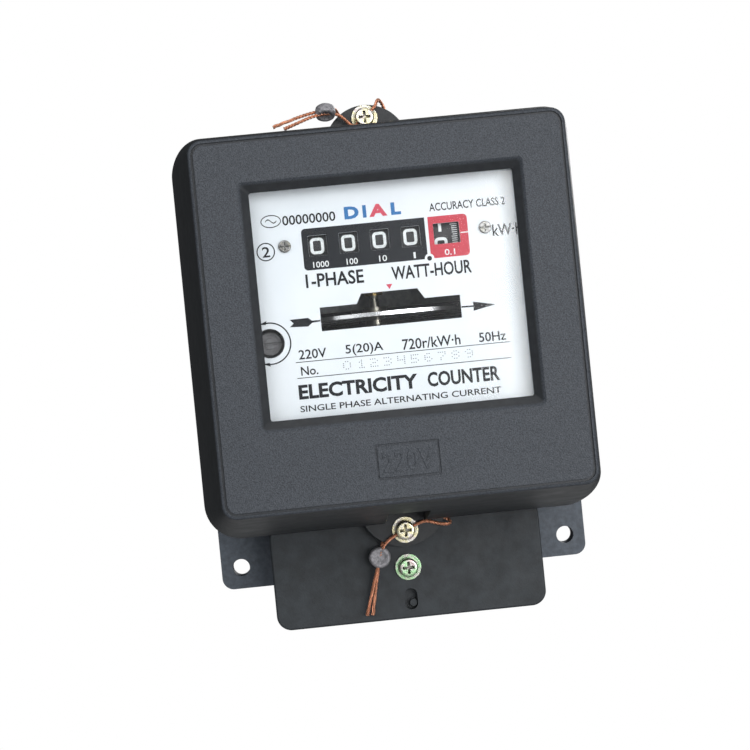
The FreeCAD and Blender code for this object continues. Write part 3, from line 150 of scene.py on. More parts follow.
def make_camera():
    data = bpy.data.cameras.new("camera")
    data.lens = LENS
    data.sensor_width = SENSOR
    data.clip_start, data.clip_end = 0.05, 20.0
    turn = Matrix.Identity(3)
    for angle, axis in CAMERA_TURNS:
        turn = turn @ Matrix.Rotation(angle, 3, axis)
    right, look, up = turn.row[0], turn.row[1], turn.row[2]
    camera = bpy.data.objects.new("camera", data)
    axes = Matrix((right, up, -look)).transposed()
    camera.matrix_world = Matrix.Translation(CAMERA_PLACE) @ axes.to_4x4()
    bpy.context.scene.collection.objects.link(camera)
    bpy.context.scene.camera = camera


def make_lamp(name, place, wide, tall, power):
    data = bpy.data.lights.new(name, "AREA")
    data.shape = "RECTANGLE"
    data.size, data.size_y = wide, tall
    data.energy = power
    lamp = bpy.data.objects.new(name, data)
    lamp.location = place
    lamp.rotation_euler = (-Vector(place)).to_track_quat("-Z", "Y").to_euler()
    bpy.context.scene.collection.objects.link(lamp)


def make_world():
    """A white studio that the camera sees as paper white and the object as soft grey."""
    world = bpy.data.worlds.new("studio")
    world.use_nodes = True
    tree = world.node_tree
    tree.nodes.clear()
    seen = node(tree, "ShaderNodeBackground", {"Color": (1, 1, 1, 1), "Strength": 1.0})
    direction = node(tree, "ShaderNodeTexCoord").outputs["Generated"]
    way = node(tree, "ShaderNodeSeparateXYZ", {0: direction})
    strength = between(tree, way.outputs["Y"], STUDIO_FRONT, STUDIO_BACK, -0.6, 0.7)
    felt = node(tree, "ShaderNodeBackground", {"Color": (0.93, 0.97, 1, 1), "Strength": strength})
    by_camera = node(tree, "ShaderNodeLightPath").outputs["Is Camera Ray"]
    mixed = node(
        tree,
        "ShaderNodeMixShader",
        {0: by_camera, 1: felt.outputs[0], 2: seen.outputs[0]},
    )
    node(tree, "ShaderNodeOutputWorld", {"Surface": mixed.outputs[0]})
    bpy.context.scene.world = world


def make_stage():
    """A grey round floor below the meter, which hangs clear of it."""
    made = bmesh.new()
    bmesh.ops.create_circle(made, cap_ends=True, radius=FLOOR_RADIUS, segments=96)
    mesh = bpy.data.meshes.new("floor")
    made.to_mesh(mesh)
    made.free()
    floor = bpy.data.objects.new("floor", mesh)
    floor.location = (0, 0, FLOOR_LEVEL)
    bpy.context.scene.collection.objects.link(floor)
    paper = finish("floor_paper", (0.42, 0.42, 0.42), (0.48, 0.48, 0.48), 6, rough=(0.8, 0.9))
    mesh.materials.append(paper)


# ------------------------------------------------------------------ materials


def node(tree, kind, inputs=None, **settings):
    """A shader node. An input is a value or another node's output."""
    made = tree.nodes.new(kind)
    for key, value in settings.items():
        setattr(made, key, value)
    for key, value in (inputs or {}).items():
        if isinstance(value, bpy.types.NodeSocket):
            tree.links.new(value, made.inputs[key])
        else:
            made.inputs[key].default_value = value
    return made


def empty_material(name):
    material = bpy.data.materials.new(name)
    material.use_nodes = True
    material.node_tree.nodes.clear()
    return material, material.node_tree


def object_place(tree, stretch=(1, 1, 1)):
    """Object coordinates in metres, stretched."""
    place = node(tree, "ShaderNodeTexCoord").outputs["Object"]
    return node(tree, "ShaderNodeMapping", {"Vector": place, "Scale": stretch}).outputs[0]


def grain(tree, place, scale, detail=3.0, rough=0.6):
    made = node(
        tree,
        "ShaderNodeTexNoise",
        {"Vector": place, "Scale": scale, "Detail": detail, "Roughness": rough},
    )
    return made.outputs["Fac"]


def ramp(tree, factor, *stops):
    """A colour ramp through (position, (r, g, b)) stops."""
    made = node(tree, "ShaderNodeValToRGB", {0: factor})
    elements = made.color_ramp.elements
    while len(elements) < len(stops):
        elements.new(0.5)
    for element, (position, colour) in zip(elements, stops):
        element.position = position
        element.color = (*colour, 1)
    return made.outputs["Color"]


def between(tree, factor, low, high, start=0.3, end=0.7):
    made = node(
        tree,
        "ShaderNodeMapRange",
        {"Value": factor, "From Min": start, "From Max": end, "To Min": low, "To Max": high},
    )
    return made.outputs[0]


def mix_colours(tree, factor, first, second, blend="MIX"):
    made = node(tree, "ShaderNodeMix", data_type="RGBA", blend_type=blend)
    for key, value in ((0, factor), (6, first), (7, second)):
        if isinstance(value, bpy.types.NodeSocket):
            tree.links.new(value, made.inputs[key])
        else:
            made.inputs[key].default_value = value
    return made.outputs[2]


def relief(tree, height, distance, strength=1.0, edge=0.00015, normal=None):
    """A bump over slightly softened edges."""
    if normal is None:
        normal = node(tree, "ShaderNodeBevel", {"Radius": edge}, samples=4).outputs[0]
    made = node(
        tree,
        "ShaderNodeBump",
        {"Height": height, "Distance": distance, "Strength": strength, "Normal": normal},
    )
    return made.outputs[0]


def close(tree, shader_inputs):
    """Ends a material with a Principled shader."""
    shader = node(tree, "ShaderNodeBsdfPrincipled", shader_inputs)
    node(tree, "ShaderNodeOutputMaterial", {"Surface": shader.outputs[0]})
    return shader


def finish(
    name,
    dark,
    light,
    scale,
    rough=(0.4, 0.5),
    bump=None,
    metallic=0.0,
    edge=0.00015,
    stretch=(1, 1, 1),
    detail=3.0,
    specular=0.34,
):
    """A mottled surface: two colours, two roughnesses, and a grain of (scale, depth in mm)."""
    material, tree = empty_material(name)
    place = object_place(tree, stretch)
    mottle = grain(tree, place, scale, detail)
    colour = ramp(tree, mottle, (0.35, dark), (0.65, light))
    bump_scale, depth = bump or (scale * 3, 0.01)
    fine = grain(tree, place, bump_scale, 2.0)
    close(
        tree,
        {
            "Base Color": colour,
            "Metallic": metallic,
            "Roughness": between(tree, grain(tree, place, scale * 0.6), *rough),
            "Specular IOR Level": specular,
            "Normal": relief(tree, fine, depth * MM, edge=edge),
        },
    )
    return material


def cover_finish():
    """Moulded cover: a sand-textured front, and smoother, darker sides."""
    material, tree = empty_material("cover_grey")
    place = object_place(tree)
    split = node(tree, "ShaderNodeSeparateXYZ", {0: place})
    near, far = -(PLATE_FRONT - 0.35) * MM, -(PLATE_FRONT - 0.9) * MM
    front = between(tree, split.outputs["Y"], 1.0, 0.0, near, far)
    sand = grain(tree, place, 2600, 3.0, 0.7)
    pits = node(tree, "ShaderNodeTexVoronoi", {"Vector": place, "Scale": 2300}).outputs["Distance"]
    plate = ramp(tree, sand, (0.34, (0.015, 0.018, 0.023)), (0.66, (0.053, 0.060, 0.072)))
    cloud = grain(tree, place, 400)
    side = ramp(tree, cloud, (0.3, (0.012, 0.0135, 0.016)), (0.7, (0.019, 0.021, 0.024)))
    height = node(tree, "ShaderNodeMath", {0: sand, 1: pits}, operation="ADD").outputs[0]
    height = node(tree, "ShaderNodeMath", {0: height, 1: front}, operation="MULTIPLY").outputs[0]
    sheen = grain(tree, place, 1500)
    side_rough = between(tree, grain(tree, place, 120), 0.36, 0.46)
    plate_rough = between(tree, sheen, 0.50, 0.66)
    rough = node(tree, "ShaderNodeMix", {0: front, 2: side_rough, 3: plate_rough}).outputs[0]
    base = relief(tree, grain(tree, place, 1800), 0.006 * MM, edge=0.0002)
    close(
        tree,
        {
            "Base Color": mix_colours(tree, front, side, plate),
            "Roughness": rough,
            "Specular IOR Level": 0.34,
            "Normal": relief(tree, height, 0.06 * MM, normal=base),
        },
    )
    return material


def glass_finish():
    """Clear window glass: it lets lamps through and mirrors by angle."""
    material, tree = empty_material("window_glass")
    place = object_place(tree)
    bend = node(tree, "ShaderNodeFresnel", {"IOR": 1.45}).outputs[0]
    haze = between(tree, grain(tree, place, 60), 0.10, 0.13)
    clear = node(tree, "ShaderNodeBsdfTransparent", {"Color": (0.995, 0.998, 1, 1)})
    mirror = node(tree, "ShaderNodeBsdfGlossy", {"Color": (1, 1, 1, 1), "Roughness": haze})
    mixed = node(tree, "ShaderNodeMixShader", {0: bend, 1: clear.outputs[0], 2: mirror.outputs[0]})
    node(tree, "ShaderNodeOutputMaterial", {"Surface": mixed.outputs[0]})
    return material


def zinc_finish(name, tint, shade=1.0):
    """Passivated zinc plate, pale with tinted patches, with painted shade darkening its corners and
    recesses.
    """
    material, tree = empty_material(name)
    place = object_place(tree)
    patches = grain(tree, place, 330, 2.0)
    colour = ramp(
        tree,
        patches,
        (0.30, (0.62, 0.60, 0.50)),
        (0.45, tint),
        (0.58, (0.72, 0.70, 0.64)),
        (0.72, (0.66, 0.50, 0.50)),
    )
    scratches = grain(tree, object_place(tree, (1, 1, 6)), 2500)
    # Painted shade: ambient occlusion within 2.2 mm darkens the colour towards near black in
    # corners and recesses, and shade scales the colour in the open.
    corners = node(tree, "ShaderNodeAmbientOcclusion", {"Distance": 2.2 * MM}, samples=8)
    open_air = corners.outputs["AO"]
    painted_recess_shade = ramp(tree, open_air, (0.25, (0.05, 0.05, 0.04)), (0.85, (shade, shade, shade)))
    close(
        tree,
        {
            "Base Color": mix_colours(tree, 1.0, colour, painted_recess_shade, "MULTIPLY"),
            "Metallic": 1.0,
            "Roughness": between(tree, scratches, 0.20, 0.34),
            "Normal": relief(tree, scratches, 0.003 * MM, edge=0.00025),
        },
    )
    return material


def lead_finish():
    """Dull pressed lead with a faint cross hatch."""
    material, tree = empty_material("seal_lead")
    place = object_place(tree)
    hatch = []
    for turn in (0.8, -0.75):
        turned = node(tree, "ShaderNodeMapping", {"Vector": place, "Rotation": (0, turn, 0)})
        waves = {"Vector": turned.outputs[0], "Scale": 260, "Distortion": 3.0}
        hatch.append(node(tree, "ShaderNodeTexWave", waves).outputs["Fac"])
    crossed = node(tree, "ShaderNodeMath", {0: hatch[0], 1: hatch[1]}, operation="MULTIPLY")
    cross = crossed.outputs[0]
    mottle = grain(tree, place, 900, 4.0)
    height = node(tree, "ShaderNodeMath", {0: cross, 1: mottle}, operation="ADD").outputs[0]
    close(
        tree,
        {
            "Base Color": ramp(
                tree, mottle, (0.3, (0.17, 0.17, 0.18)), (0.7, (0.36, 0.35, 0.37))
            ),
            "Metallic": 0.55,
            "Roughness": between(tree, mottle, 0.5, 0.7),
            "Normal": relief(tree, height, 0.09 * MM, edge=0.0001),
        },
    )
    return material


def turned_finish(name, colour, rings=5200, rough=(0.18, 0.34)):
    """Bright metal with turning marks about a vertical axis through the rotor."""
    material, tree = empty_material(name)
    place = object_place(tree)
    centre = (DISC_BOX[0] + DISC_BOX[1]) / 2
    mapping = {"Vector": place, "Location": tuple(-centre)}
    moved = node(tree, "ShaderNodeMapping", mapping).outputs[0]
    marks = node(
        tree,
        "ShaderNodeTexWave",
        {"Vector": moved, "Scale": rings, "Distortion": 0.4},
        wave_type="RINGS",
        rings_direction="Z",
    ).outputs["Fac"]
    cloud = grain(tree, place, 90)
    shade = tuple(c * 0.86 for c in colour)
    close(
        tree,
        {
            "Base Color": ramp(tree, cloud, (0.3, shade), (0.7, colour)),
            "Metallic": 1.0,
            "Roughness": between(tree, cloud, *rough),
            "Normal": relief(tree, marks, 0.003 * MM, edge=0.0001),
        },
    )
    return material


def plain(name, colour, spread=0.15, **rest):
    dark = tuple(c * (1 - spread) for c in colour)
    light = tuple(min(1.0, c * (1 + spread)) for c in colour)
    return finish(name, dark, light, rest.pop("scale", 500), **rest)


METAL = {"metallic": 1.0, "rough": (0.25, 0.4), "scale": 800}

# slot: (colour, spread of its two shades, other settings of finish)
PLAIN_FINISHES = {
    "base_grey": ((0.060, 0.072, 0.090), 0.2, {"rough": (0.42, 0.55), "bump": (1600, 0.02)}),
    "terminal_grey": (
        (0.018, 0.022, 0.026),
        0.25,
        {"rough": (0.44, 0.58), "scale": 180, "bump": (1400, 0.03)},
    ),
    "block_black": ((0.014, 0.014, 0.015), 0.15, {"rough": (0.35, 0.5), "bump": (900, 0.02)}),
    "gasket_rubber": (
        (0.012, 0.012, 0.012),
        0.15,
        {"rough": (0.7, 0.85), "bump": (1200, 0.03)},
    ),
    "retainer_black": ((0.012, 0.012, 0.013), 0.15, {"rough": (0.45, 0.6)}),
    "zinc_steel": ((0.52, 0.53, 0.54), 0.15, {"bump": (1500, 0.01), **METAL}),
    "screw_steel": ((0.50, 0.50, 0.49), 0.15, {"bump": (2500, 0.008), **METAL}),
    "brass": ((0.66, 0.46, 0.18), 0.15, {"bump": (2200, 0.006), **METAL}),
    "cast_aluminium": (
        (0.30, 0.31, 0.32),
        0.15,
        {"metallic": 1.0, "rough": (0.5, 0.7), "bump": (700, 0.05)},
    ),
    "bobbin_plastic": ((0.05, 0.05, 0.052), 0.15, {"rough": (0.4, 0.55)}),
    "winding_tape": (
        (0.42, 0.30, 0.06),
        0.15,
        {"rough": (0.3, 0.45), "bump": (400, 0.04), "stretch": (1, 1, 8)},
    ),
    "copper": ((0.50, 0.19, 0.08), 0.15, {"bump": (1500, 0.02), **METAL}),
    "steel_shaft": ((0.56, 0.53, 0.45), 0.15, {"bump": (2600, 0.004), **METAL}),
    "magnet": (
        (0.10, 0.10, 0.11),
        0.15,
        {"metallic": 0.8, "rough": (0.4, 0.6), "bump": (900, 0.03)},
    ),
    "drum_black": ((0.016, 0.017, 0.019), 0.25, {"rough": (0.35, 0.5), "bump": (1500, 0.01)}),
    "drum_red": ((0.020, 0.019, 0.021), 0.25, {"rough": (0.35, 0.5), "bump": (1500, 0.01)}),
    "gear_plastic": ((0.72, 0.72, 0.68), 0.06, {"rough": (0.4, 0.5)}),
    "register_aluminium": (
        (0.35, 0.36, 0.37),
        0.15,
        {"metallic": 1.0, "rough": (0.4, 0.55), "bump": (900, 0.02)},
    ),
    "seal_copper": (
        (0.56, 0.25, 0.15),
        0.3,
        {"scale": 700, "metallic": 0.7, "rough": (0.3, 0.5), "bump": (2500, 0.02)},
    ),
}


def make_finishes():
    """One material for each of the record's slots."""
    made = {
        name: plain(name, colour, spread, **settings)
        for name, (colour, spread, settings) in PLAIN_FINISHES.items()
    }
    made["cover_grey"] = cover_finish()
    made["window_glass"] = glass_finish()
    made["screw_zinc"] = zinc_finish("screw_zinc", (0.78, 0.70, 0.42))
    made["seal_lead"] = lead_finish()
    made["disc_aluminium"] = turned_finish("disc_aluminium", (0.86, 0.87, 0.88))
    made["core_steel"] = finish(
        "core_steel",
        (0.06, 0.065, 0.075),
        (0.13, 0.14, 0.16),
        300,
        rough=(0.35, 0.5),
        metallic=0.9,
        stretch=(1, 9, 1),
        bump=(900, 0.03),
    )
    made["dial_paint"] = finish(
        "dial_paint",
        (0.74, 0.785, 0.82),
        (0.79, 0.83, 0.86),
        35,
        rough=(0.5, 0.6),
        bump=(2400, 0.004),
    )
    own = {
        "terminal_cover_screw": zinc_finish("screw_zinc_green", (0.44, 0.80, 0.42), 0.85),
        "full_load_adjuster": plain(
            "blackened_steel", (0.15, 0.15, 0.155), metallic=0.6, rough=(0.35, 0.5)
        ),
        "dial_screws": zinc_finish("dial_screw_steel", (0.60, 0.60, 0.60), 0.42),
    }
    for name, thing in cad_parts.items():
        slot = thing.data.materials[0].name.split(".")[0]
        wanted = own.get(name, made[slot])
        for index in range(len(thing.data.materials)):
            thing.data.materials[index] = wanted
    return made


def ink(name, colour, rough=(0.45, 0.6)):
    grains = {"scale": 1500, "bump": (3000, 0.004), "edge": 0.00004}
    return plain(name, colour, 0.12, rough=rough, specular=0.15, **grains)


# ------------------------------------------------------------------ flat shapes


def mesh_of(curve):
    """The mesh of a curve or text."""
    holder = bpy.data.objects.new("holder", curve)
    bpy.context.scene.collection.objects.link(holder)
    bpy.context.view_layer.update()
    mesh = bpy.data.meshes.new_from_object(holder)
    bpy.data.objects.remove(holder)
    bpy.data.curves.remove(curve)
    return mesh


def filled(loops, thickness):
    """A thin solid of closed outlines; a loop inside another is a hole."""
    curve = bpy.data.curves.new("shape", "CURVE")
    curve.dimensions = "2D"
    curve.fill_mode = "BOTH"
    curve.extrude = thickness / 2
    for loop in loops:
        spline = curve.splines.new("POLY")
        spline.points.add(len(loop) - 1)
        for point, (u, v) in zip(spline.points, loop):
            point.co = (u, v, 0, 1)
        spline.use_cyclic_u = True
    return mesh_of(curve)


def lettering(text, left, right, low, high, thickness, weight=0.0, spacing=1.0):
    """Text as a thin solid that exactly fills a rectangle."""
    curve = bpy.data.curves.new("text", "FONT")
    curve.body = text
    curve.size = 1.0
    curve.space_character = spacing
    curve.resolution_u = 3
    curve.offset = weight
    curve.extrude = 0.5
    mesh = mesh_of(curve)
    spots = [v.co for v in mesh.vertices]
    u0, u1 = min(c.x for c in spots), max(c.x for c in spots)
    v0, v1 = min(c.y for c in spots), max(c.y for c in spots)
    for vertex in mesh.vertices:
        u, v, w = vertex.co
        vertex.co = (
            left + (u - u0) / (u1 - u0) * (right - left),
            low + (v - v0) / (v1 - v0) * (high - low),
            w * thickness,
        )
    return mesh


class Print:
    """Collects thin shapes of one colour and turns them into one piece."""

    THICKNESS = 0.03

    def __init__(self, place):
        self.place = place
        self.made = bmesh.new()

    def add(self, mesh):
        start = len(self.made.verts)
        self.made.from_mesh(mesh)
        self.made.verts.ensure_lookup_table()
        for vertex in self.made.verts[start:]:
            vertex.co = self.place(*vertex.co)
        bpy.data.meshes.remove(mesh)

    def shape(self, *loops):
        self.add(filled(loops, self.THICKNESS))

    def text(self, text, left, right, low, high, weight=0.0, spacing=1.0):
        self.add(lettering(text, left, right, low, high, self.THICKNESS, weight, spacing))

    def piece(self, name, body, material):
        bmesh.ops.remove_doubles(self.made, verts=self.made.verts, dist=1e-7)
        bmesh.ops.recalc_face_normals(self.made, faces=self.made.faces)
        mesh = bpy.data.meshes.new(name)
        self.made.to_mesh(mesh)
        self.made.free()
        return placed(name, mesh, body, material)


def placed(name, mesh, body, material):
    """An object of a finished mesh that rides on a body."""
    mesh.materials.clear()
    mesh.materials.append(material)
    thing = bpy.data.objects.new(name, mesh)
    bpy.context.scene.collection.objects.link(thing)
    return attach(thing, body)


def arc(x, z, radius, start, end, steps=16):
    """Points round an arc, in degrees."""
    turns = [math.radians(start + (end - start) * i / steps) for i in range(steps + 1)]
    return [(x + radius * math.cos(a), z + radius * math.sin(a)) for a in turns]


def ring(x, z, outer, inner, steps=48):
    return arc(x, z, outer, 0, 360, steps)[:-1], arc(x, z, inner, 0, 360, steps)[:-1]


def rounded(left, right, low, high, radius, steps=5):
    """A rounded rectangle."""
    corners = [
        (right - radius, low + radius, -90),
        (right - radius, high - radius, 0),
        (left + radius, high - radius, 90),
        (left + radius, low + radius, 180),
    ]
    return [p for x, z, start in corners for p in arc(x, z, radius, start, start + 90, steps)]


def strip(left, right, low, high):
    return [(left, low), (right, low), (right, high), (left, high)]


def on_dial(layer):
    """Puts a flat shape on the dial, in thin layers of print."""

    def place(u, v, w):
        return at(u, DIAL_FRONT + layer * PRINT_LAYER + w, v)

    return place


# ------------------------------------------------------------------ dial

PRINT_LAYER = 0.04
WINDOW_CENTRES = [-20.55, -11.1, -1.65, 7.8]
DECIMAL_DOT = (12.85, 15.75)
ADJUSTER = (-37.8, -5.3)

DOTS = {
    "0": ("0110", "1001", "1001", "1001", "0110"),
    "1": ("0010", "0110", "0010", "0010", "0111"),
    "2": ("1110", "0001", "0110", "1000", "1111"),
    "3": ("1110", "0001", "0110", "0001", "1110"),
    "4": ("1001", "1001", "1111", "0001", "0001"),
    "5": ("1111", "1000", "1110", "0001", "1110"),
    "6": ("0110", "1000", "1110", "1001", "0110"),
    "7": ("1111", "0001", "0010", "0100", "0100"),
    "8": ("0110", "1001", "0110", "1001", "0110"),
    "9": ("0110", "1001", "0111", "0001", "0110"),
}


def register_fields():
    """The black and red fields round the number windows, with their white marks."""
    dot_x, dot_z = DECIMAL_DOT
    low, high = 15.6, 28.25
    black, red, white = Print(on_dial(1)), Print(on_dial(1)), Print(on_dial(2))
    outline = arc(-24.0, low + 1.2, 1.2, 180, 270, 6)
    outline += arc(dot_x, dot_z, 1.45, 186, 110, 8) + [(12.35, high)]
    outline += arc(-24.0, high - 1.2, 1.2, 90, 180, 6)
    holes = [rounded(x - 2.87, x + 2.87, 19.78, 26.02, 0.3, 3) for x in WINDOW_CENTRES]
    black.shape(outline, *holes)
    outline = arc(dot_x, dot_z, 1.45, 72, -6, 8) + arc(24.0, low + 1.3, 1.3, 270, 360, 6)
    outline += arc(24.0, high - 1.3, 1.3, 0, 90, 6) + [(13.35, high)]
    red.shape(outline, rounded(14.78, 22.72, 19.73, 26.07, 0.2, 3))
    black.shape(arc(dot_x, dot_z, 0.72, 0, 360, 24)[:-1])
    for text, left, right in (
        ("1000", -22.45, -17.65),
        ("100", -12.3, -8.9),
        ("10", -2.4, 0.0),
        ("1", 8.1, 8.75),
        ("0.1", 17.6, 20.8),
    ):
        white.text(text, left, right, 16.2, 18.05, 0.01)
    white.shape(strip(22.95, 25.35, 22.45, 22.8))
    black.piece("register_field_black", "meter", ink("field_black", (0.008, 0.010, 0.014)))
    red.piece("register_field_red", "meter", ink("field_red", (0.55, 0.055, 0.08)))
    white.piece("register_labels", "meter", ink("label_white", (0.78, 0.80, 0.80)))


def dial_marks():
    """Black print: ratings, class, arrows, rules and generic headings."""
    black = Print(on_dial(1))
    for text, left, right, low, high, weight in (
        ("00000000", -30.5, -14.35, 29.8, 32.75, 0.014),
        ("ACCURACY CLASS 2", 14.2, 37.3, 29.85, 32.3, 0.012),
        ("1-PHASE", -25.2, -7.6, 10.3, 14.5, 0.02),
        ("WATT-HOUR", 0.9, 25.3, 10.2, 14.3, 0.02),
        ("kW·h", 32.7, 41.3, 20.5, 24.1, 0.012),
        ("2", -37.45, -35.1, 20.75, 23.95, 0.014),
        ("220V", -29.5, -21.1, -11.0, -8.1, 0.012),
        ("5(20)A", -15.3, -3.8, -11.4, -7.9, 0.012),
        ("720r/kW·h", 2.0, 19.7, -11.2, -7.9, 0.012),
        ("50Hz", 25.4, 33.6, -11.1, -8.2, 0.012),
        ("No.", -29.3, -24.1, -15.9, -13.2, 0.012),
        ("ELECTRICITY", -30.6, 5.6, -23.1, -18.6, 0.035),
        ("COUNTER", 8.6, 30.6, -23.1, -18.6, 0.03),
        ("SINGLE PHASE ALTERNATING CURRENT", -30.6, 30.6, -26.9, -25.0, 0.012),
    ):
        black.text(text, left, right, low, high, weight)
    for level in (-11.78, -16.6):
        black.shape(strip(-30.6, 34.6, level - 0.11, level + 0.11))
    black.shape(*ring(-36.35, 22.4, 2.8, 2.46))
    black.shape(*oval(-33.95, 31.45, 3.1, 1.95, 0.28))
    black.shape(wave_sign(-33.95, 31.45, 1.7, 0.55, 0.34))
    black.shape(
        [
            (-31.2, 1.3),
            (-25.6, 1.35),
            (-24.5, 0.42),
            (-21.95, 0.38),
            (-21.95, -0.05),
            (-24.5, -0.25),
            (-25.8, -1.25),
            (-31.3, -0.95),
            (-30.1, 0.1),
        ]
    )
    black.shape(
        [
            (21.05, -0.12),
            (24.7, -0.2),
            (24.6, -1.42),
            (31.45, -0.05),
            (24.6, 1.38),
            (24.7, 0.25),
            (21.05, 0.35),
        ]
    )
    turn_x, turn_z = ADJUSTER
    black.shape(arc(turn_x, turn_z, 6.45, -100, 100, 40) + arc(turn_x, turn_z, 6.05, 100, -100, 40))
    for side in (1, -1):
        tip = (-40.6, turn_z + side * 6.0)
        black.shape([tip, (-38.2, turn_z + side * 6.9), (-38.5, turn_z + side * 5.75)][::side])
    black.piece("dial_print_black", "meter", ink("ink_black", (0.007, 0.008, 0.011)))

    stamped = Print(on_dial(1))
    for index, figure in enumerate("0123456789"):
        for row, cells in enumerate(DOTS[figure]):
            for column, on in enumerate(cells):
                if on == "1":
                    x = -16.3 + index * 4.13 + column * 0.68
                    stamped.shape(arc(x, -12.95 - row * 0.56, 0.17, 0, 360, 8)[:-1])
    stamped.piece("dial_print_stamped", "meter", ink("ink_grey", (0.13, 0.14, 0.15)))

    blue, red = Print(on_dial(1)), Print(on_dial(1))
    for colour, text, left, right in (
        (blue, "D", -11.6, -7.2),
        (blue, "I", -6.0, -4.9),
        (red, "A", -4.1, 1.4),
        (blue, "L", 2.6, 5.6),
    ):
        colour.text(text, left, right, 29.9, 33.7, 0.05)
    blue.piece("dial_print_blue", "meter", ink("ink_blue", (0.035, 0.17, 0.42)))
    red.shape([(-1.1, 9.15), (-0.15, 7.65), (0.8, 9.15)])
    red.piece("dial_print_red", "meter", ink("ink_red", (0.62, 0.08, 0.12)))


def oval(x, z, half_wide, half_tall, line):
    """Two loops of an oval ring."""
    turns = [math.radians(5 * i) for i in range(72)]

    def loop(wide, tall):
        return [(x + wide * math.cos(a), z + tall * math.sin(a)) for a in turns]

    return loop(half_wide, half_tall), loop(half_wide - line, half_tall - line)


def wave_sign(x, z, half, rise, line):
    """The sign for alternating current, one period of a wave."""
    steps = [i / 16 for i in range(-16, 17)]
    top = [(x + half * s, z + rise * math.sin(-math.pi * s) + line / 2) for s in steps]
    low = [(x + half * s, z + rise * math.sin(-math.pi * s) - line / 2) for s in steps]
    return low + top[::-1]


# ------------------------------------------------------------------ number drums

STROKES = {
    0: [[(0, 0), (1, 0), (1, 1), (0, 1), (0, 0)]],
    1: [[(0.5, 0), (0.5, 1)]],
    2: [[(0, 1), (1, 1), (1, 0.5), (0, 0.5), (0, 0), (1, 0)]],
    3: [[(0, 1), (1, 1), (1, 0), (0, 0)], [(0.25, 0.5), (0.75, 0.5)]],
    4: [[(0, 1), (0, 0.42), (0.75, 0.42)], [(1, 1), (1, 0)]],
    5: [[(1, 1), (0, 1), (0, 0.5), (1, 0.5), (1, 0), (0, 0)]],
    6: [[(0.9, 1), (0, 1), (0, 0), (1, 0), (1, 0.5), (0.27, 0.5)]],
    7: [[(0, 1), (1, 1), (1, 0.7), (0.45, 0)]],
    8: [[(0, 0), (1, 0), (1, 1), (0, 1), (0, 0)], [(0.27, 0.5), (0.73, 0.5)]],
    9: [[(0.1, 0), (1, 0), (1, 1), (0, 1), (0, 0.5), (0.73, 0.5)]],
}
FIGURE_WIDE, FIGURE_TALL, FIGURE_LINE = 3.3, 4.1, 0.92


def rounded_path(points, radius, closed):
    """A path with arcs at its corners and points every half millimetre."""
    count = len(points)
    corners = range(count) if closed else range(1, count - 1)
    path = [] if closed else [points[0]]
    for index in corners:
        before, corner, after = (Vector(points[(index + k) % count]) for k in (-1, 0, 1))
        back, ahead = (before - corner).normalized(), (after - corner).normalized()
        reach = min(radius, 0.45 * min((before - corner).length, (after - corner).length))
        start, end = corner + back * reach, corner + ahead * reach
        for step in range(7):
            t = step / 6
            spot = start * (1 - t) ** 2 + corner * 2 * t * (1 - t) + end * t * t
            path.append(tuple(spot))
    if not closed:
        path.append(points[-1])
    dense = []
    links = list(zip(path, path[1:] + path[:1])) if closed else list(zip(path, path[1:]))
    for (u0, v0), (u1, v1) in links:
        pieces = max(1, math.ceil(math.hypot(u1 - u0, v1 - v0) / 0.5))
        dense += [(u0 + (u1 - u0) * k / pieces, v0 + (v1 - v0) * k / pieces) for k in range(pieces)]
    return dense if closed else dense + [path[-1]]


def stroke(points, line):
    """The outline loops of a thick line."""
    closed = points[0] == points[-1]
    if closed:
        points = points[:-1]
    path = rounded_path(points, 1.0, closed)
    count = len(path)
    sides = ([], [])
    for index, spot in enumerate(path):
        before = path[index - 1] if index or closed else spot
        after = path[(index + 1) % count] if index + 1 < count or closed else spot
        along = Vector((after[0] - before[0], after[1] - before[1])).normalized()
        for side, sign in zip(sides, (0.5, -0.5)):
            side.append((spot[0] - along.y * line * sign, spot[1] + along.x * line * sign))
    return (sides[0], sides[1]) if closed else (sides[0] + sides[1][::-1],)


def number_drums():
    """White figures wrapped on the drums; the last drum also has a hundred ticks."""
    white = ink("figure_white", (0.80, 0.84, 0.84))
    centres = {
        "drum_thousands": -20.7,
        "drum_hundreds": -11.2,
        "drum_tens": -1.7,
        "drum_units": 7.75,
        "drum_tenths": 16.95,
    }
    for drum, centre in centres.items():
        tenths = drum == "drum_tenths"
        wide = FIGURE_WIDE - (0.2 if tenths else 0)
        reading = 0.56 if tenths else 0.0
        turn = 0.0

        def wrap(u, v, w):
            angle = turn + v / DRUM_RADIUS
            out = DRUM_RADIUS + 0.03 + w
            return at(u, DRUM_HEIGHT + out * math.cos(angle), DRUM_LEVEL + out * math.sin(angle))

        figures = Print(wrap)
        figures.THICKNESS = 0.05
        for figure, strokes in STROKES.items():
            turn = math.radians((figure - reading) * 36)
            for points in strokes:
                scaled = [(centre + (u - 0.5) * wide, (v - 0.5) * FIGURE_TALL) for u, v in points]
                figures.shape(*stroke(scaled, FIGURE_LINE))
        if tenths:
            for tick in range(100):
                turn = math.radians((tick / 10 - reading) * 36)
                left = 20.0 if tick % 10 == 0 else 20.7 if tick % 5 == 0 else 20.45
                figures.shape(strip(left, 22.1, -0.1, 0.1))
        figures.piece(f"{drum}_figures", drum, white)


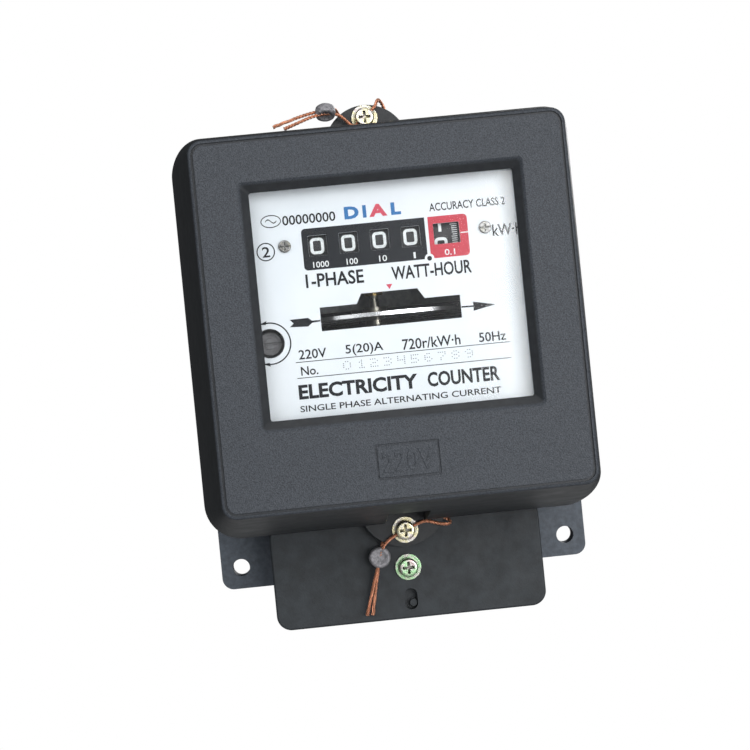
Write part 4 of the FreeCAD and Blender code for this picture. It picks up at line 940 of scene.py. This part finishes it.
def disc_mark():
    """A dark reference mark painted on the rim of the rotor disc."""
    low, high = DISC_BOX
    centre, radius = (low + high) / 2, (high.x - low.x) / 2 + 0.00002
    made = bmesh.new()
    rows = []
    for step in range(13):
        angle = math.radians(60 + step * 1.5)
        out = Vector((math.cos(angle), math.sin(angle), 0))
        inner, outer = radius - 0.0016, radius
        top, foot = high.z + 0.00002, low.z - 0.00002
        section = [(inner, top), (outer, top), (outer, foot), (inner, foot)]
        row = []
        for reach, z in section:
            row.append(made.verts.new(Vector((centre.x, centre.y, z)) + out * reach))
        rows.append(row)
    for first, second in zip(rows, rows[1:]):
        for k in range(3):
            made.faces.new((first[k], first[k + 1], second[k + 1], second[k]))
    bmesh.ops.recalc_face_normals(made, faces=made.faces)
    mesh = bpy.data.meshes.new("disc_mark")
    made.to_mesh(mesh)
    made.free()
    placed("disc_mark", mesh, "rotor", ink("mark_black", (0.02, 0.02, 0.02)))


def raised_label(material):
    """Raised rating in the frame at the foot of the front plate."""

    def place(u, v, w):
        return at(u, PLATE_FRONT - 0.05 + w, v)

    label = Print(place)
    label.THICKNESS = 0.7
    label.text("220V", -7.7, 7.7, -47.2, -40.7, 0.015, 1.05)
    label.piece("raised_rating", "meter", material)


# ------------------------------------------------------------------ seals


def centreline(points):
    """Points along the NURBS of a route."""
    curve = bpy.data.curves.new("route", "CURVE")
    curve.dimensions = "3D"
    spline = curve.splines.new("NURBS")
    spline.points.add(len(points) - 1)
    for point, spot in zip(spline.points, points):
        point.co = (*at(*spot), 1)
    spline.order_u = 3
    spline.use_endpoint_u = True
    spline.resolution_u = 12
    mesh = mesh_of(curve)
    line = [v.co.copy() for v in mesh.vertices]
    bpy.data.meshes.remove(mesh)
    return line


def stranded(name, line, splay, material):
    """Three round strands twisted about a centreline, which open a little at the free end."""
    radius, offset, pitch, sides = 0.29, 0.31, 3.4, 8
    made = bmesh.new()
    lengths = [0.0]
    for first, second in zip(line, line[1:]):
        lengths.append(lengths[-1] + (second - first).length)
    total = lengths[-1]
    steps = math.ceil(total / (0.22 * MM))
    spots, across = [], []
    index = 0
    for step in range(steps + 1):
        here = total * step / steps
        while index < len(line) - 2 and lengths[index + 1] < here:
            index += 1
        share = (here - lengths[index]) / (lengths[index + 1] - lengths[index])
        spots.append(line[index].lerp(line[index + 1], share))
    side = (spots[1] - spots[0]).orthogonal().normalized()
    for before, after in zip(spots[:1] + spots[:-1], spots[1:] + spots[-1:]):
        along = (after - before).normalized()
        side = (side - along * side.dot(along)).normalized()
        across.append((side.copy(), along.cross(side)))
    for strand in range(3):
        rings = []
        for step, (spot, (first, second)) in enumerate(zip(spots, across)):
            here = total * step / steps / MM
            tail = max(0.0, 1 - (total / MM - here) / 7.0)
            angle = 2 * math.pi * here / pitch * (1 - 0.25 * tail) + 2 * math.pi / 3 * strand
            reach = (offset + splay * tail * tail) * MM
            centre = spot + (first * math.cos(angle) + second * math.sin(angle)) * reach
            wobble = 1 + 0.04 * noise.noise(Vector((here * 1.7, strand * 9.0, 0)))
            turns = [2 * math.pi * k / sides for k in range(sides)]
            row = []
            for a in turns:
                out = first * math.cos(a) + second * math.sin(a)
                row.append(made.verts.new(centre + out * radius * wobble * MM))
            rings.append(row)
        for low, high in zip(rings, rings[1:]):
            for k in range(sides):
                made.faces.new((low[k], low[(k + 1) % sides], high[(k + 1) % sides], high[k]))
        made.faces.new(rings[0][::-1])
        made.faces.new(rings[-1])
    bmesh.ops.recalc_face_normals(made, faces=made.faces)
    for face in made.faces:
        face.smooth = len(face.verts) == 4
    mesh = bpy.data.meshes.new(name)
    made.to_mesh(mesh)
    made.free()
    return placed(name, mesh, "meter", material)


def pressed_disc(name, centre, axis, radius, thickness, material):
    """A crimped lead disc: raised rim, dished faces and an uneven edge."""
    profile = [
        (0.00, 0.36),
        (0.20, 0.36),
        (0.36, 0.37),
        (0.50, 0.40),
        (0.62, 0.46),
        (0.74, 0.49),
        (0.86, 0.47),
        (0.94, 0.40),
        (0.985, 0.27),
        (1.00, 0.12),
    ]
    half = [(r * radius, h * thickness) for r, h in profile]
    whole = half + [(r, -h) for r, h in half[::-1]]
    axis = Vector((axis[0], -axis[1], axis[2])).normalized()
    across = axis.orthogonal().normalized()
    other = axis.cross(across)
    made = bmesh.new()
    sides = 56
    rings = []
    for number, (reach, lift) in enumerate(whole):
        if reach == 0:
            rings.append([made.verts.new(at(*centre) + axis * lift * MM)])
            continue
        row = []
        for k in range(sides):
            angle = 2 * math.pi * k / sides
            spot = (math.cos(angle) * 2.1, math.sin(angle) * 2.1, lift * 0.5 + len(name))
            uneven = noise.noise(Vector(spot))
            dent = 1 - 0.035 * (0.5 + uneven)
            rise = lift * (1 - 0.06 * abs(uneven))
            out = (across * math.cos(angle) + other * math.sin(angle)) * reach * dent
            row.append(made.verts.new(at(*centre) + (out + axis * rise) * MM))
        rings.append(row)
    for low, high in zip(rings, rings[1:]):
        for k in range(sides):
            after = (k + 1) % sides
            if len(low) == 1:
                made.faces.new((low[0], high[after], high[k]))
            elif len(high) == 1:
                made.faces.new((low[k], low[after], high[0]))
            else:
                made.faces.new((low[k], low[after], high[after], high[k]))
    bmesh.ops.recalc_face_normals(made, faces=made.faces)
    for face in made.faces:
        face.smooth = True
    mesh = bpy.data.meshes.new(name)
    made.to_mesh(mesh)
    made.free()
    return placed(name, mesh, "meter", material)


def make_seals(finishes):
    for name, (centre, axis, radius, thickness) in SEALS.items():
        disc = pressed_disc(f"{name}_disc", centre, axis, radius, thickness, finishes["seal_lead"])
        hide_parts(name)
    for name, route in WIRE_ROUTES.items():
        line = centreline(route)
        wire = stranded(f"{name}_strands", line, 0.12, finishes["seal_copper"])
        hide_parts(name)


bpy.context.scene.view_settings.view_transform = "Standard"
make_camera()
make_world()
finishes = make_finishes()
make_seals(finishes)
make_stage()
for lamp_name, lamp_facts in LAMPS.items():
    make_lamp(lamp_name, *lamp_facts)
register_fields()
dial_marks()
number_drums()
disc_mark()
raised_label(finishes["cover_grey"])
